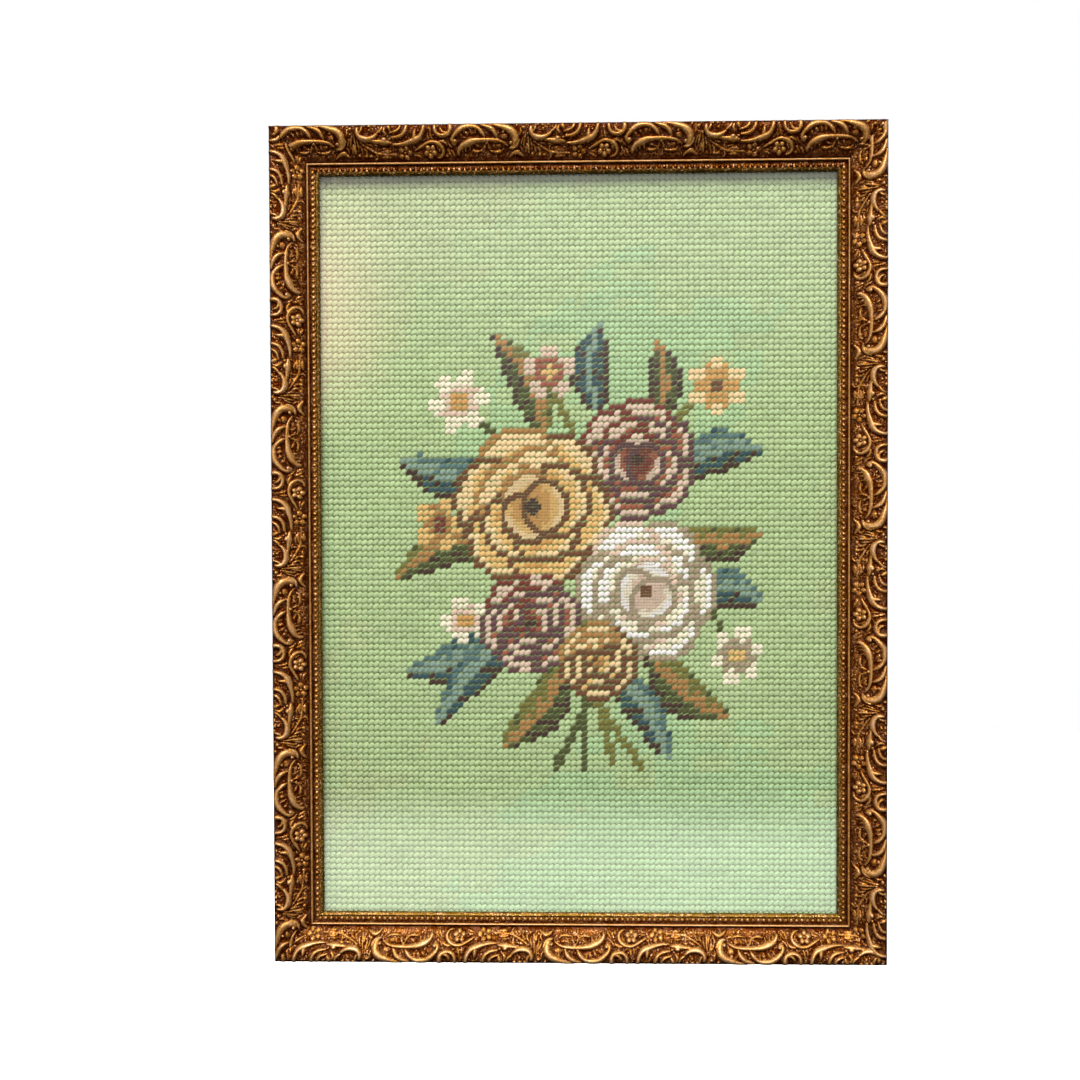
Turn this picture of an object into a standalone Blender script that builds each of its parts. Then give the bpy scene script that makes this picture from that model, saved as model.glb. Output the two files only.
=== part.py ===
"""Framed needlepoint picture, upright as it hangs.

The frame is four mitred lengths of one carved and gilded moulding. Behind their sight edge sit,
from the front, a pane of glass, the needlepoint sheet and a backing board.

Axes: +X to the viewer's right, +Z up, the picture faces -Y and its back lies in the plane y = 0.
The origin is the middle of the top rail's back face, which bears on the wall.
"""

import math
from typing import NamedTuple

import bmesh
import bpy
from mathutils import Vector

MM = 0.001

# Outer size of the frame, and the clearance between neighbouring pieces
OUTER_WIDTH = 271.0 * MM
OUTER_HEIGHT = 370.0 * MM
CLEARANCE = 0.3 * MM

# Moulding: distances across it run from the outer edge, heights from the wall
RAIL_WIDTH = 21.4 * MM
WALL_HEIGHT = 16.5 * MM
CARVED_WIDTH = 15.2 * MM
REBATE_EDGE = 14.5 * MM
REBATE_HEIGHT = 10.6 * MM
BEAD_SEAT = 12.4 * MM

# Carving: its pattern repeats along the moulding, and fades out at the plain edges
REPEAT = 76.2 * MM
STATION_STEP = 1.6 * MM
EDGE_FADE = 1.1 * MM
CREASE_DEGREES = 58.0

# Flat pieces in the rebate, from the front to the back
GLASS_THICKNESS = 2.0 * MM
CLOTH_THICKNESS = 2.4 * MM
BOARD_THICKNESS = 3.0 * MM


class ProfilePoint(NamedTuple):
    """A point of the moulding's section, in metres."""

    across: float
    height: float


class Scroll(NamedTuple):
    """A raised rib of the carving: its height, and its route as along, across and width, in millimetres."""

    height: float
    route: tuple


class Boss(NamedTuple):
    """A raised oval of the carving, in millimetres and degrees."""

    along: float
    across: float
    length: float
    width: float
    turn: float
    height: float


class Rail(NamedTuple):
    """A side of the frame: quarter turns from the bottom one, length, first corner, pattern start."""

    name: str
    turns: int
    length: float
    side: int
    at_top: bool
    pattern_start: float


class Finish(NamedTuple):
    """The plain look of one material."""

    name: str
    colour: tuple
    roughness: float
    metallic: float


# The carved face: highest by its outer edge, it falls away towards the picture
CARVED_PROFILE = (
    ProfilePoint(0.0, WALL_HEIGHT),
    ProfilePoint(0.5 * MM, 18.4 * MM),
    ProfilePoint(1.3 * MM, 19.2 * MM),
    ProfilePoint(2.5 * MM, 19.45 * MM),
    ProfilePoint(3.8 * MM, 19.3 * MM),
    ProfilePoint(5.2 * MM, 18.85 * MM),
    ProfilePoint(6.6 * MM, 18.2 * MM),
    ProfilePoint(8.0 * MM, 17.45 * MM),
    ProfilePoint(9.4 * MM, 16.6 * MM),
    ProfilePoint(10.8 * MM, 15.7 * MM),
    ProfilePoint(12.2 * MM, 14.8 * MM),
    ProfilePoint(13.7 * MM, 13.9 * MM),
    ProfilePoint(CARVED_WIDTH, 13.1 * MM),
)

# The plain members: fillet, groove, a round rib as tall as the beads, and the sloping sight lip
PLAIN_PROFILE = (
    ProfilePoint(15.7 * MM, 13.9 * MM),
    ProfilePoint(16.4 * MM, 14.35 * MM),
    ProfilePoint(17.0 * MM, 13.8 * MM),
    ProfilePoint(17.3 * MM, BEAD_SEAT),
    ProfilePoint(17.7 * MM, BEAD_SEAT),
    ProfilePoint(18.2 * MM, 13.3 * MM),
    ProfilePoint(19.3 * MM, 13.3 * MM),
    ProfilePoint(19.7 * MM, BEAD_SEAT),
    ProfilePoint(20.0 * MM, 13.0 * MM),
    ProfilePoint(20.8 * MM, 12.5 * MM),
    ProfilePoint(RAIL_WIDTH, 11.8 * MM),
    ProfilePoint(RAIL_WIDTH, REBATE_HEIGHT),
    ProfilePoint(REBATE_EDGE, REBATE_HEIGHT),
    ProfilePoint(REBATE_EDGE, 0.0),
)

# One repeat of the carving, in the order in which it runs along the moulding: the shell with its
# stem, the fan, the long scroll under the boat, and the arch with its tendril
SCROLLS = (
    Scroll(2.2, ((0.9, 1.2, 1.6), (1.5, 4.2, 2.0), (3.5, 6.9, 2.6), (7.0, 8.1, 2.4), (11.0, 9.0, 1.8),
                 (14.4, 9.0, 1.4))),
    Scroll(1.6, ((8.5, 1.2, 1.6), (9.4, 4.2, 2.0), (12.2, 5.9, 1.8), (14.9, 6.3, 1.4))),
    Scroll(2.0, ((15.5, 8.3, 1.6), (18.8, 8.1, 2.8), (22.6, 7.8, 2.0), (25.0, 7.5, 1.5))),
    Scroll(2.3, ((21.8, 5.2, 1.6), (24.8, 6.8, 2.4), (27.8, 6.6, 2.6), (29.8, 4.8, 2.2), (30.0, 2.4, 1.6))),
    Scroll(1.3, ((21.2, 4.2, 1.6), (19.9, 3.2, 1.8), (18.9, 1.6, 1.6))),
    Scroll(1.0, ((14.0, 13.0, 1.6), (19.5, 12.7, 1.8), (23.6, 11.4, 1.8), (28.6, 8.3, 1.6))),
    Scroll(1.4, ((31.1, 12.4, 2.0), (31.3, 8.0, 2.2), (31.7, 5.0, 1.8))),
    Scroll(1.1, ((33.3, 10.8, 1.6), (32.9, 7.4, 1.8))),
    Scroll(1.6, ((34.4, 13.8, 1.8), (36.6, 12.4, 2.2), (39.0, 13.8, 1.8))),
    Scroll(2.2, ((38.1, 10.2, 2.0), (36.9, 8.0, 2.9), (37.8, 4.8, 3.1), (41.3, 2.6, 2.8), (45.6, 1.7, 2.2))),
    Scroll(1.9, ((45.0, 7.0, 1.6), (46.3, 4.1, 2.1), (48.6, 2.2, 2.1))),
    Scroll(2.1, ((50.4, 6.3, 1.6), (52.1, 3.9, 2.1), (55.3, 2.1, 2.4), (59.4, 2.4, 2.6), (62.9, 4.8, 2.2),
                 (64.5, 7.3, 1.9))),
    Scroll(2.2, ((40.6, 9.6, 1.5), (43.2, 8.1, 1.7), (48.0, 7.5, 2.0), (53.8, 7.7, 2.4), (58.0, 8.9, 2.9),
                 (61.2, 10.8, 2.3), (62.0, 12.8, 1.8))),
    Scroll(1.1, ((42.7, 11.4, 1.6), (45.2, 12.2, 1.9), (47.8, 11.7, 1.6))),
    Scroll(1.1, ((51.6, 11.3, 1.6), (53.8, 12.0, 1.9), (55.9, 11.6, 1.6))),
    Scroll(1.9, ((65.5, 1.2, 1.8), (65.8, 4.0, 2.0), (68.8, 5.5, 1.9), (71.6, 4.2, 1.8), (72.2, 1.4, 1.6))),
    Scroll(1.7, ((70.8, 14.2, 1.6), (68.8, 12.0, 1.8), (70.2, 9.2, 2.0), (74.0, 8.3, 1.8), (77.6, 9.6, 1.7),
                 (80.6, 11.0, 1.5))),
)
BOSSES = (
    Boss(along=9.3, across=12.5, length=7.4, width=5.0, turn=0, height=1.1),
    Boss(along=18.4, across=7.2, length=3.4, width=3.0, turn=0, height=2.3),
    Boss(along=24.4, across=2.0, length=5.0, width=2.4, turn=0, height=1.2),
    Boss(along=33.4, across=2.4, length=3.2, width=2.4, turn=0, height=1.3),
    Boss(along=38.9, across=8.8, length=2.4, width=2.4, turn=0, height=2.3),
    Boss(along=41.8, across=6.1, length=3.4, width=2.8, turn=0, height=1.0),
    Boss(along=63.3, across=8.0, length=2.6, width=2.6, turn=0, height=2.2),
    Boss(along=74.3, across=12.0, length=5.2, width=4.4, turn=0, height=1.4),
)

# The stock runs round the frame against the clock, each side cut at its own place in the pattern
RAILS = (
    Rail("rail_bottom", 0, OUTER_WIDTH, side=-1, at_top=False, pattern_start=8.2 * MM),
    Rail("rail_right", 1, OUTER_HEIGHT, side=1, at_top=False, pattern_start=3.9 * MM),
    Rail("rail_top", 2, OUTER_WIDTH, side=1, at_top=True, pattern_start=-27.1 * MM),
    Rail("rail_left", 3, OUTER_HEIGHT, side=-1, at_top=True, pattern_start=11.0 * MM),
)

GILDING = Finish("gilded_moulding", (0.52, 0.27, 0.09), roughness=0.38, metallic=0.75)
GLASS = Finish("clear_glass", (0.90, 0.94, 0.91), roughness=0.04, metallic=0.0)
WOOL = Finish("needlepoint_wool", (0.48, 0.62, 0.36), roughness=0.9, metallic=0.0)
BOARD = Finish("brown_hardboard", (0.24, 0.14, 0.08), roughness=0.8, metallic=0.0)


def clear_scene():
    """Remove every object, so that the script starts from nothing."""
    for item in list(bpy.data.objects):
        bpy.data.objects.remove(item, do_unlink=True)


def new_material(finish):
    """Make a plain Principled material of one finish."""
    material = bpy.data.materials.new(finish.name)
    material.use_nodes = True
    shader = material.node_tree.nodes["Principled BSDF"]
    shader.inputs["Base Color"].default_value = (*finish.colour, 1.0)
    shader.inputs["Roughness"].default_value = finish.roughness
    shader.inputs["Metallic"].default_value = finish.metallic
    return material


def repeat_offset(along, centre):
    """Signed distance along the moulding to the nearest copy of a centre, in millimetres."""
    period = REPEAT / MM
    return (along - centre + period / 2) % period - period / 2


def rounded(distance, half_width, height):
    """Height of a rounded ridge at a distance from its crest."""
    share = distance / half_width
    return height * (1.0 - share * share) if share < 1.0 else 0.0


def scroll_height(scroll, along, across):
    """Height that one scroll gives at a point: its tallest where the point is nearest its route."""
    tallest = 0.0
    for first, last in zip(scroll.route, scroll.route[1:]):
        step = repeat_offset(along, (first[0] + last[0]) / 2) + (last[0] - first[0]) / 2
        rise = across - first[1]
        run = last[0] - first[0], last[1] - first[1]
        share = (step * run[0] + rise * run[1]) / (run[0] ** 2 + run[1] ** 2)
        share = min(1.0, max(0.0, share))
        distance = math.hypot(step - share * run[0], rise - share * run[1])
        half_width = (first[2] + share * (last[2] - first[2])) / 2
        tallest = max(tallest, rounded(distance, half_width, scroll.height))
    return tallest


def boss_height(boss, along, across):
    """Height that one boss gives at a point."""
    step = repeat_offset(along, boss.along)
    rise = across - boss.across
    angle = math.radians(boss.turn)
    length_share = (step * math.cos(angle) + rise * math.sin(angle)) / (boss.length / 2)
    width_share = (rise * math.cos(angle) - step * math.sin(angle)) / (boss.width / 2)
    return rounded(math.hypot(length_share, width_share), 1.0, boss.height)


def carving(along, across):
    """Height of the carving over the moulding's face, in metres."""
    along_mm = along / MM
    across_mm = across / MM
    tallest = max(
        max(scroll_height(scroll, along_mm, across_mm) for scroll in SCROLLS),
        max(boss_height(boss, along_mm, across_mm) for boss in BOSSES),
    )
    edge = min(across, CARVED_WIDTH - across) / EDGE_FADE
    return tallest * MM * min(1.0, max(0.0, edge))


def mitred(share, across, length):
    """Place along a rail, square across in its middle and slanting to 45 degrees at its ends."""
    inset = across + CLEARANCE / math.sqrt(2.0)
    return inset + share * (length - 2.0 * inset)


def add_cell(mesh, cell, pattern_start):
    """Split a cell of the carved face along the diagonal that follows the carving best."""
    middle = sum((corner.co for corner in cell), Vector()) / 4
    rise = carving(middle.x - pattern_start, middle.y)
    misfits = []
    for start in (0, 1):
        ends = (cell[start].co, cell[start + 2].co)
        mean = sum(carving(end.x - pattern_start, end.y) for end in ends) / 2
        misfits.append((abs(mean - rise), start))
    start = min(misfits)[1]
    near, side, far, other_side = cell[start:] + cell[:start]
    mesh.faces.new((near, side, far))
    mesh.faces.new((near, far, other_side))


def fan(mesh, many, first, last):
    """Fill the flat strip between a row of points and the two corners of a straight edge."""
    middle = len(many) // 2
    for index in range(middle):
        mesh.faces.new((first, many[index + 1], many[index]))
    mesh.faces.new((first, last, many[middle]))
    for index in range(middle, len(many) - 1):
        mesh.faces.new((last, many[index + 1], many[index]))


def rail_mesh(rail):
    """Build one rail lying along X, its width along Y and its height along Z."""
    mesh = bmesh.new()
    stations = round(rail.length / STATION_STEP)
    columns = []
    for point in CARVED_PROFILE:
        column = []
        for station in range(stations + 1):
            along = mitred(station / stations, point.across, rail.length)
            height = point.height + carving(along - rail.pattern_start, point.across)
            column.append(mesh.verts.new((along, point.across, height)))
        columns.append(column)
    for left, right in zip(columns, columns[1:]):
        for station in range(stations):
            cell = (left[station], left[station + 1], right[station + 1], right[station])
            add_cell(mesh, cell, rail.pattern_start)

    edges = []
    for point in (*PLAIN_PROFILE, ProfilePoint(0.0, 0.0)):
        ends = (mitred(share, point.across, rail.length) for share in (0.0, 1.0))
        edges.append([mesh.verts.new((end, point.across, point.height)) for end in ends])
    for left, right in zip(edges, edges[1:]):
        mesh.faces.new((left[0], left[1], right[1], right[0]))
    fan(mesh, columns[-1][::-1], edges[0][1], edges[0][0])
    fan(mesh, columns[0], edges[-1][0], edges[-1][1])
    for end in (0, -1):
        mesh.faces.new([column[end] for column in columns] + [edge[end] for edge in edges])

    bmesh.ops.recalc_face_normals(mesh, faces=mesh.faces)
    data = bpy.data.meshes.new(rail.name)
    mesh.to_mesh(data)
    mesh.free()
    data.shade_smooth()
    data.set_sharp_from_angle(angle=math.radians(CREASE_DEGREES))
    return data


def add_rail(rail, top, bottom, material):
    """Stand a rail at its side of the frame, turned about the line of sight."""
    data = rail_mesh(rail)
    data.materials.append(material)
    item = bpy.data.objects.new(rail.name, data)
    item.location = (rail.side * OUTER_WIDTH / 2, 0.0, top if rail.at_top else bottom)
    item.rotation_euler = (math.pi / 2, -rail.turns * math.pi / 2, 0.0)
    bpy.context.collection.objects.link(item)


def add_sheet(name, width, height, back, thickness, middle, material):
    """Add a flat upright sheet, its back a given distance from the wall."""
    mesh = bmesh.new()
    bmesh.ops.create_cube(mesh, size=1.0)
    bmesh.ops.scale(mesh, vec=(width, thickness, height), verts=mesh.verts)
    data = bpy.data.meshes.new(name)
    mesh.to_mesh(data)
    mesh.free()
    data.materials.append(material)
    item = bpy.data.objects.new(name, data)
    item.location = (0.0, -(back + thickness / 2), middle)
    bpy.context.collection.objects.link(item)


def main():
    """Build the frame, then the flat pieces from the glass back to the board."""
    clear_scene()
    top = REBATE_EDGE / 2
    bottom = top - OUTER_HEIGHT
    gilding = new_material(GILDING)
    for rail in RAILS:
        add_rail(rail, top, bottom, gilding)

    width = OUTER_WIDTH - 2 * (REBATE_EDGE + CLEARANCE)
    height = OUTER_HEIGHT - 2 * (REBATE_EDGE + CLEARANCE)
    middle = (top + bottom) / 2
    glass_back = REBATE_HEIGHT - CLEARANCE - GLASS_THICKNESS
    cloth_back = glass_back - CLEARANCE - CLOTH_THICKNESS
    board_back = cloth_back - CLEARANCE - BOARD_THICKNESS
    for name, back, thickness, finish in (
        ("glass_pane", glass_back, GLASS_THICKNESS, GLASS),
        ("needlepoint_sheet", cloth_back, CLOTH_THICKNESS, WOOL),
        ("backing_board", board_back, BOARD_THICKNESS, BOARD),
    ):
        add_sheet(name, width, height, back, thickness, middle, new_material(finish))


main()
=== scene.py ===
"""Looks of the framed needlepoint picture: gilt carved moulding, glass, worked canvas and board.

Everything is in metres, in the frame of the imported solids: +X to the viewer's right, +Z up, the
picture faces -Y. Sizes named in millimetres say so.
"""

from __future__ import annotations

import logging
import math
from dataclasses import dataclass, field
from enum import Enum, IntEnum
from typing import NamedTuple, Sequence

import bpy
import numpy as np
from mathutils import Matrix, Vector


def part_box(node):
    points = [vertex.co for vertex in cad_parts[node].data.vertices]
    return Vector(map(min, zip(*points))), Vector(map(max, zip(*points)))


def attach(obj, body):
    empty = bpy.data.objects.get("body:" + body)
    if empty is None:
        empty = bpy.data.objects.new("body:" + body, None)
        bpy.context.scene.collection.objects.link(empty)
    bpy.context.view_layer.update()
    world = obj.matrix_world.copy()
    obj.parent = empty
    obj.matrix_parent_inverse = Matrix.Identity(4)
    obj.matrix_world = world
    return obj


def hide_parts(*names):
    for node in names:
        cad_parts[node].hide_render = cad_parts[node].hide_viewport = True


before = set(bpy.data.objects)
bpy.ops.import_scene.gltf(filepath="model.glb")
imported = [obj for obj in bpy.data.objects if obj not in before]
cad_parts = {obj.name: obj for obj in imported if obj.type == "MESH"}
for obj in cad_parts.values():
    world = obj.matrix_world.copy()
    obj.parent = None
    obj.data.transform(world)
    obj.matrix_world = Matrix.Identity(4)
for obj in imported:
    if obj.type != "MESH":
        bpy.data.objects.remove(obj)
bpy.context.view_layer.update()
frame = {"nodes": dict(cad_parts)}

LOG = logging.getLogger("needlepoint_picture")
MM = 0.001

Colour = tuple[float, float, float]
Socket = bpy.types.NodeSocket


def linear(red: int, green: int, blue: int) -> Colour:
    """Turn a display colour into scene values.

    Args:
        red: Display red, 0 to 255.
        green: Display green, 0 to 255.
        blue: Display blue, 0 to 255.

    Returns:
        The colour as linear light.
    """
    shares = (channel / 255.0 for channel in (red, green, blue))
    return tuple(
        share / 12.92 if share <= 0.04045 else ((share + 0.055) / 1.055) ** 2.4
        for share in shares
    )


def speckle(first: np.ndarray, second: np.ndarray, seed: float) -> np.ndarray:
    """Repeatable noise without a random source.

    Args:
        first: First coordinate of each sample.
        second: Second coordinate of each sample.
        seed: Picks one of many like patterns.

    Returns:
        Values from 0 to 1, one for each sample.
    """
    raw = np.sin(first * 12.9898 + second * 78.233 + seed * 37.719) * 43758.5453
    return raw - np.floor(raw)


class Graph:
    """The node tree of a material or a world, with short calls for the nodes used here."""

    def __init__(self, name: str, world: bool = False) -> None:
        """Start a material or a world with an empty tree and its output node.

        Args:
            name: Its name.
            world: True for a world.
        """
        owners = bpy.data.worlds if world else bpy.data.materials
        self.owner = owners.new(name)
        self.owner.use_nodes = True
        self.tree = self.owner.node_tree
        self.tree.nodes.clear()
        self.output = self.node("ShaderNodeOutputWorld" if world else "ShaderNodeOutputMaterial")

    def node(self, kind: str, inputs: dict | None = None, **settings: object) -> bpy.types.Node:
        """Add a node.

        Args:
            kind: Blender's name of the node type.
            inputs: A value or a socket for each named input.
            **settings: The node's own properties.

        Returns:
            The new node.
        """
        made = self.tree.nodes.new(kind)
        for name, value in settings.items():
            setattr(made, name, value)
        for name, value in (inputs or {}).items():
            self.feed(made.inputs[name], value)
        return made

    def feed(self, target: Socket, value: object) -> None:
        """Link a socket to an input, or set the input to a plain value.

        Args:
            target: The input.
            value: A socket, a number, or a tuple.
        """
        if isinstance(value, Socket):
            self.tree.links.new(value, target)
        elif isinstance(value, tuple) and len(value) == 3 and target.type == "RGBA":
            target.default_value = (*value, 1.0)
        else:
            target.default_value = value

    def math(self, operation: str, first: object, second: object = 0.0, clamp: bool = False) -> Socket:
        """Do arithmetic on two values.

        Args:
            operation: Blender's name of the operation.
            first: First value or socket.
            second: Second value or socket.
            clamp: True to keep the result from 0 to 1.

        Returns:
            The result's socket.
        """
        made = self.node("ShaderNodeMath", operation=operation, use_clamp=clamp)
        self.feed(made.inputs[0], first)
        self.feed(made.inputs[1], second)
        return made.outputs[0]

    def spread(self, value: Socket, low: float, high: float, start: float, end: float,
               soft: bool = False) -> Socket:
        """Map a range of a value to another range, held at both ends.

        Args:
            value: The socket to read.
            low: Input value that gives start.
            high: Input value that gives end.
            start: Result at low.
            end: Result at high.
            soft: True to ease in and out.

        Returns:
            The mapped value's socket.
        """
        easing = "SMOOTHSTEP" if soft else "LINEAR"
        made = self.node("ShaderNodeMapRange", clamp=True, interpolation_type=easing)
        for index, setting in enumerate((value, low, high, start, end)):
            self.feed(made.inputs[index], setting)
        return made.outputs[0]

    def noise(self, where: Socket, scale: float, detail: float = 3.0, rough: float = 0.5) -> Socket:
        """Add a cloudy noise.

        Args:
            where: Coordinates to read.
            scale: Features a unit of the coordinates.
            detail: Octaves of finer noise.
            rough: Strength of the finer octaves.

        Returns:
            The noise's value, about 0.5 on average.
        """
        inputs = {"Vector": where, "Scale": scale, "Detail": detail, "Roughness": rough}
        return self.node("ShaderNodeTexNoise", inputs).outputs["Fac"]

    def ramp(self, value: Socket, stops: Sequence[tuple[float, Colour]]) -> Socket:
        """Turn a value into a colour through stops.

        Args:
            value: The socket to read, from 0 to 1.
            stops: Pairs of a place and a colour, in rising order.

        Returns:
            The colour's socket.
        """
        made = self.node("ShaderNodeValToRGB", {"Fac": value})
        elements = made.color_ramp.elements
        while len(elements) < len(stops):
            elements.new(1.0)
        for element, (place, colour) in zip(elements, stops):
            element.position = place
            element.color = (*colour, 1.0)
        return made.outputs["Color"]

    def mixed(self, share: object, first: object, second: object, blend: str = "MIX") -> Socket:
        """Mix two colours.

        Args:
            share: How much of the second, from 0 to 1.
            first: First colour.
            second: Second colour.
            blend: Blender's name of the way to mix.

        Returns:
            The mixed colour's socket.
        """
        made = self.node("ShaderNodeMix", data_type="RGBA", blend_type=blend)
        self.feed(made.inputs["Factor"], share)
        self.feed(made.inputs[6], first)
        self.feed(made.inputs[7], second)
        return made.outputs[2]

    def bump(self, height: Socket, distance: float, strength: float = 1.0,
             normal: Socket | None = None) -> Socket:
        """Raise the surface's shading by a height.

        Args:
            height: Height from 0 to 1.
            distance: Metres that a height of 1 stands for.
            strength: Share of the effect.
            normal: A bump to add to.

        Returns:
            The new normal's socket.
        """
        inputs = {"Height": height, "Distance": distance, "Strength": strength}
        if normal is not None:
            inputs["Normal"] = normal
        return self.node("ShaderNodeBump", inputs).outputs["Normal"]

    def attribute(self, name: str) -> bpy.types.Node:
        """Read a value or colour stored on the mesh."""
        return self.node("ShaderNodeAttribute", attribute_name=name)

    def place(self) -> Socket:
        """Give the coordinates of the object itself, in metres."""
        return self.node("ShaderNodeTexCoord").outputs["Object"]

    def blended(self, share: Socket, first: bpy.types.Node, second: bpy.types.Node) -> bpy.types.Node:
        """Mix two shaders.

        Args:
            share: How much of the second, from 0 to 1.
            first: First shader.
            second: Second shader.

        Returns:
            The mixing node.
        """
        made = self.node("ShaderNodeMixShader", {"Fac": share})
        self.feed(made.inputs[1], first.outputs[0])
        self.feed(made.inputs[2], second.outputs[0])
        return made

    def surface(self, shader: bpy.types.Node) -> bpy.types.Material | bpy.types.World:
        """Finish the tree with a shader, and give the material or world."""
        self.feed(self.output.inputs["Surface"], shader.outputs[0])
        return self.owner

    def principled(self, **inputs: object) -> bpy.types.Material:
        """Finish the material with one Principled surface.

        Args:
            **inputs: Input names with underscores for spaces, and their values or sockets.

        Returns:
            The finished material.
        """
        named = {name.replace("_", " "): value for name, value in inputs.items()}
        return self.surface(self.node("ShaderNodeBsdfPrincipled", named))

    def glowing(self, colour: Colour, strength: Socket) -> bpy.types.Material:
        """Finish the material with a glow that hides nothing behind it.

        Args:
            colour: The glow's colour.
            strength: Its strength.

        Returns:
            The finished material.
        """
        glow = self.node("ShaderNodeEmission", {"Color": colour, "Strength": strength})
        clear = self.node("ShaderNodeBsdfTransparent")
        both = self.node("ShaderNodeAddShader")
        self.feed(both.inputs[0], glow.outputs[0])
        self.feed(both.inputs[1], clear.outputs[0])
        return self.surface(both)


@dataclass(frozen=True)
class AntiqueGilding:
    """Gold leaf, bright on its crests from wear and glazed dark in the hollows.

    It reads two values stored on the mesh: rise, the height of the carving from 0 to 1, and crest,
    from 0 in a hollow to 1 on a ridge. Crest also carries painted light and shade: a thin painted
    highlight along each crest, each side of the frame lighter or darker for how the lamps fall on it,
    and the foot of the carving darker as painted shade. Its flecks are partly painted glints.
    """

    name: str = "antique_gilding"
    hollow: Colour = linear(50, 14, 0)
    glaze: Colour = linear(103, 55, 10)
    gold: Colour = linear(158, 108, 42)
    leaf: Colour = linear(174, 131, 84)
    worn_and_highlight: Colour = linear(194, 155, 118)
    dust: Colour = linear(142, 98, 68)
    # The fleck colour is laid in small specks: partly wear on the gold, partly painted glints.
    fleck: Colour = linear(206, 160, 116)
    dusting: float = 0.16
    fleck_and_glint_share: float = 0.72
    cloud_scale: float = 300.0
    dust_scale: float = 420.0
    grain_scale: float = 1300.0
    fleck_scale: float = 1400.0
    grain_relief: float = 0.14 * MM
    metallic: float = 0.59
    rise_share: float = 0.44
    crest_low: float = -0.20
    crest_high: float = 0.827

    def material(self) -> bpy.types.Material:
        """Build the material.

        Returns:
            The finished material.
        """
        graph = Graph(self.name)
        place = graph.place()
        rise = graph.attribute("rise").outputs["Fac"]
        crest = graph.attribute("crest").outputs["Fac"]
        clouds = graph.noise(place, self.cloud_scale, 5.0, 0.65)
        grain = graph.noise(place, self.grain_scale, 3.0, 0.65)
        level = graph.math("MULTIPLY", rise, self.rise_share)
        lifted = graph.spread(crest, 0.0, 1.3, self.crest_low, self.crest_high)
        level = graph.math("ADD", level, lifted)
        level = graph.math("ADD", level, graph.spread(clouds, 0.3, 0.7, -0.13, 0.11))
        level = graph.math("ADD", level, graph.spread(grain, 0.3, 0.7, -0.18, 0.18), clamp=True)
        # The top colour of this ramp, reached on the crest lines, is partly wear on the gold and partly
        # painted highlight.
        colour = graph.ramp(level, (
            (0.06, self.hollow),
            (0.30, self.glaze),
            (0.60, self.gold),
            (0.84, self.leaf),
            (1.00, self.worn_and_highlight),
        ))
        settled = graph.spread(graph.noise(place, self.dust_scale, 3.0, 0.6),
                               0.48, 0.62, 0.0, self.dusting)
        low = graph.spread(level, 0.24, 0.46, 1.0, 0.0)
        colour = graph.mixed(graph.math("MULTIPLY", settled, low), colour, self.dust)
        # Painted glints: small specks of the fleck colour, partly wear on the gold and partly standing for
        # the glints of the lamps on the metal.
        rubbed_and_glint = graph.spread(graph.noise(place, self.fleck_scale, 2.0, 0.5),
                              0.57, 0.63, 0.0, self.fleck_and_glint_share)
        shy = graph.spread(level, 0.08, 0.30, 0.0, 1.0)
        colour = graph.mixed(graph.math("MULTIPLY", rubbed_and_glint, shy), colour, self.fleck)
        rough = graph.math("ADD", graph.spread(level, 0.25, 0.75, 0.45, 0.44),
                           graph.spread(grain, 0.3, 0.7, -0.06, 0.06))
        normal = graph.bump(grain, self.grain_relief, 0.8)
        return graph.principled(Base_Color=colour, Metallic=self.metallic, Roughness=rough,
                                Specular_IOR_Level=0.0, Normal=normal)


LIP_GILDING = AntiqueGilding(
    name="lip_gilding", hollow=linear(34, 20, 3), glaze=linear(84, 58, 12),
    gold=linear(132, 98, 32), leaf=linear(160, 122, 56), worn_and_highlight=linear(186, 148, 80), dusting=0.0,
)
EDGE_GILDING = AntiqueGilding(
    name="edge_gilding", hollow=linear(74, 43, 15), glaze=linear(100, 62, 24),
    gold=linear(122, 80, 34), leaf=linear(138, 94, 44), worn_and_highlight=linear(152, 108, 56),
    fleck=linear(158, 114, 62), dusting=0.10,
)


@dataclass(frozen=True)
class BareWood:
    """The unfinished back and rebate of the moulding."""

    pale: Colour = linear(198, 160, 114)
    dark: Colour = linear(138, 96, 58)
    grain_along: float = 12.0
    grain_across: float = 620.0
    grain_relief: float = 0.15 * MM

    def material(self) -> bpy.types.Material:
        """Build the material.

        Returns:
            The finished material.
        """
        graph = Graph("bare_wood")
        strand = graph.node("ShaderNodeUVMap", uv_map="stock").outputs["UV"]
        stretched = graph.node("ShaderNodeMapping", {
            "Vector": strand, "Scale": (self.grain_along, self.grain_across, 1.0),
        })
        rings = graph.noise(stretched.outputs[0], 1.0, 5.0, 0.6)
        blotch = graph.noise(graph.place(), 30.0, 3.0, 0.5)
        colour = graph.ramp(graph.spread(rings, 0.3, 0.7, 0.0, 1.0), ((0.0, self.dark), (1.0, self.pale)))
        colour = graph.mixed(graph.spread(blotch, 0.35, 0.7, 0.0, 0.35), colour, self.dark)
        normal = graph.bump(rings, self.grain_relief, 0.8)
        return graph.principled(Base_Color=colour, Roughness=0.72, Normal=normal)


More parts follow.
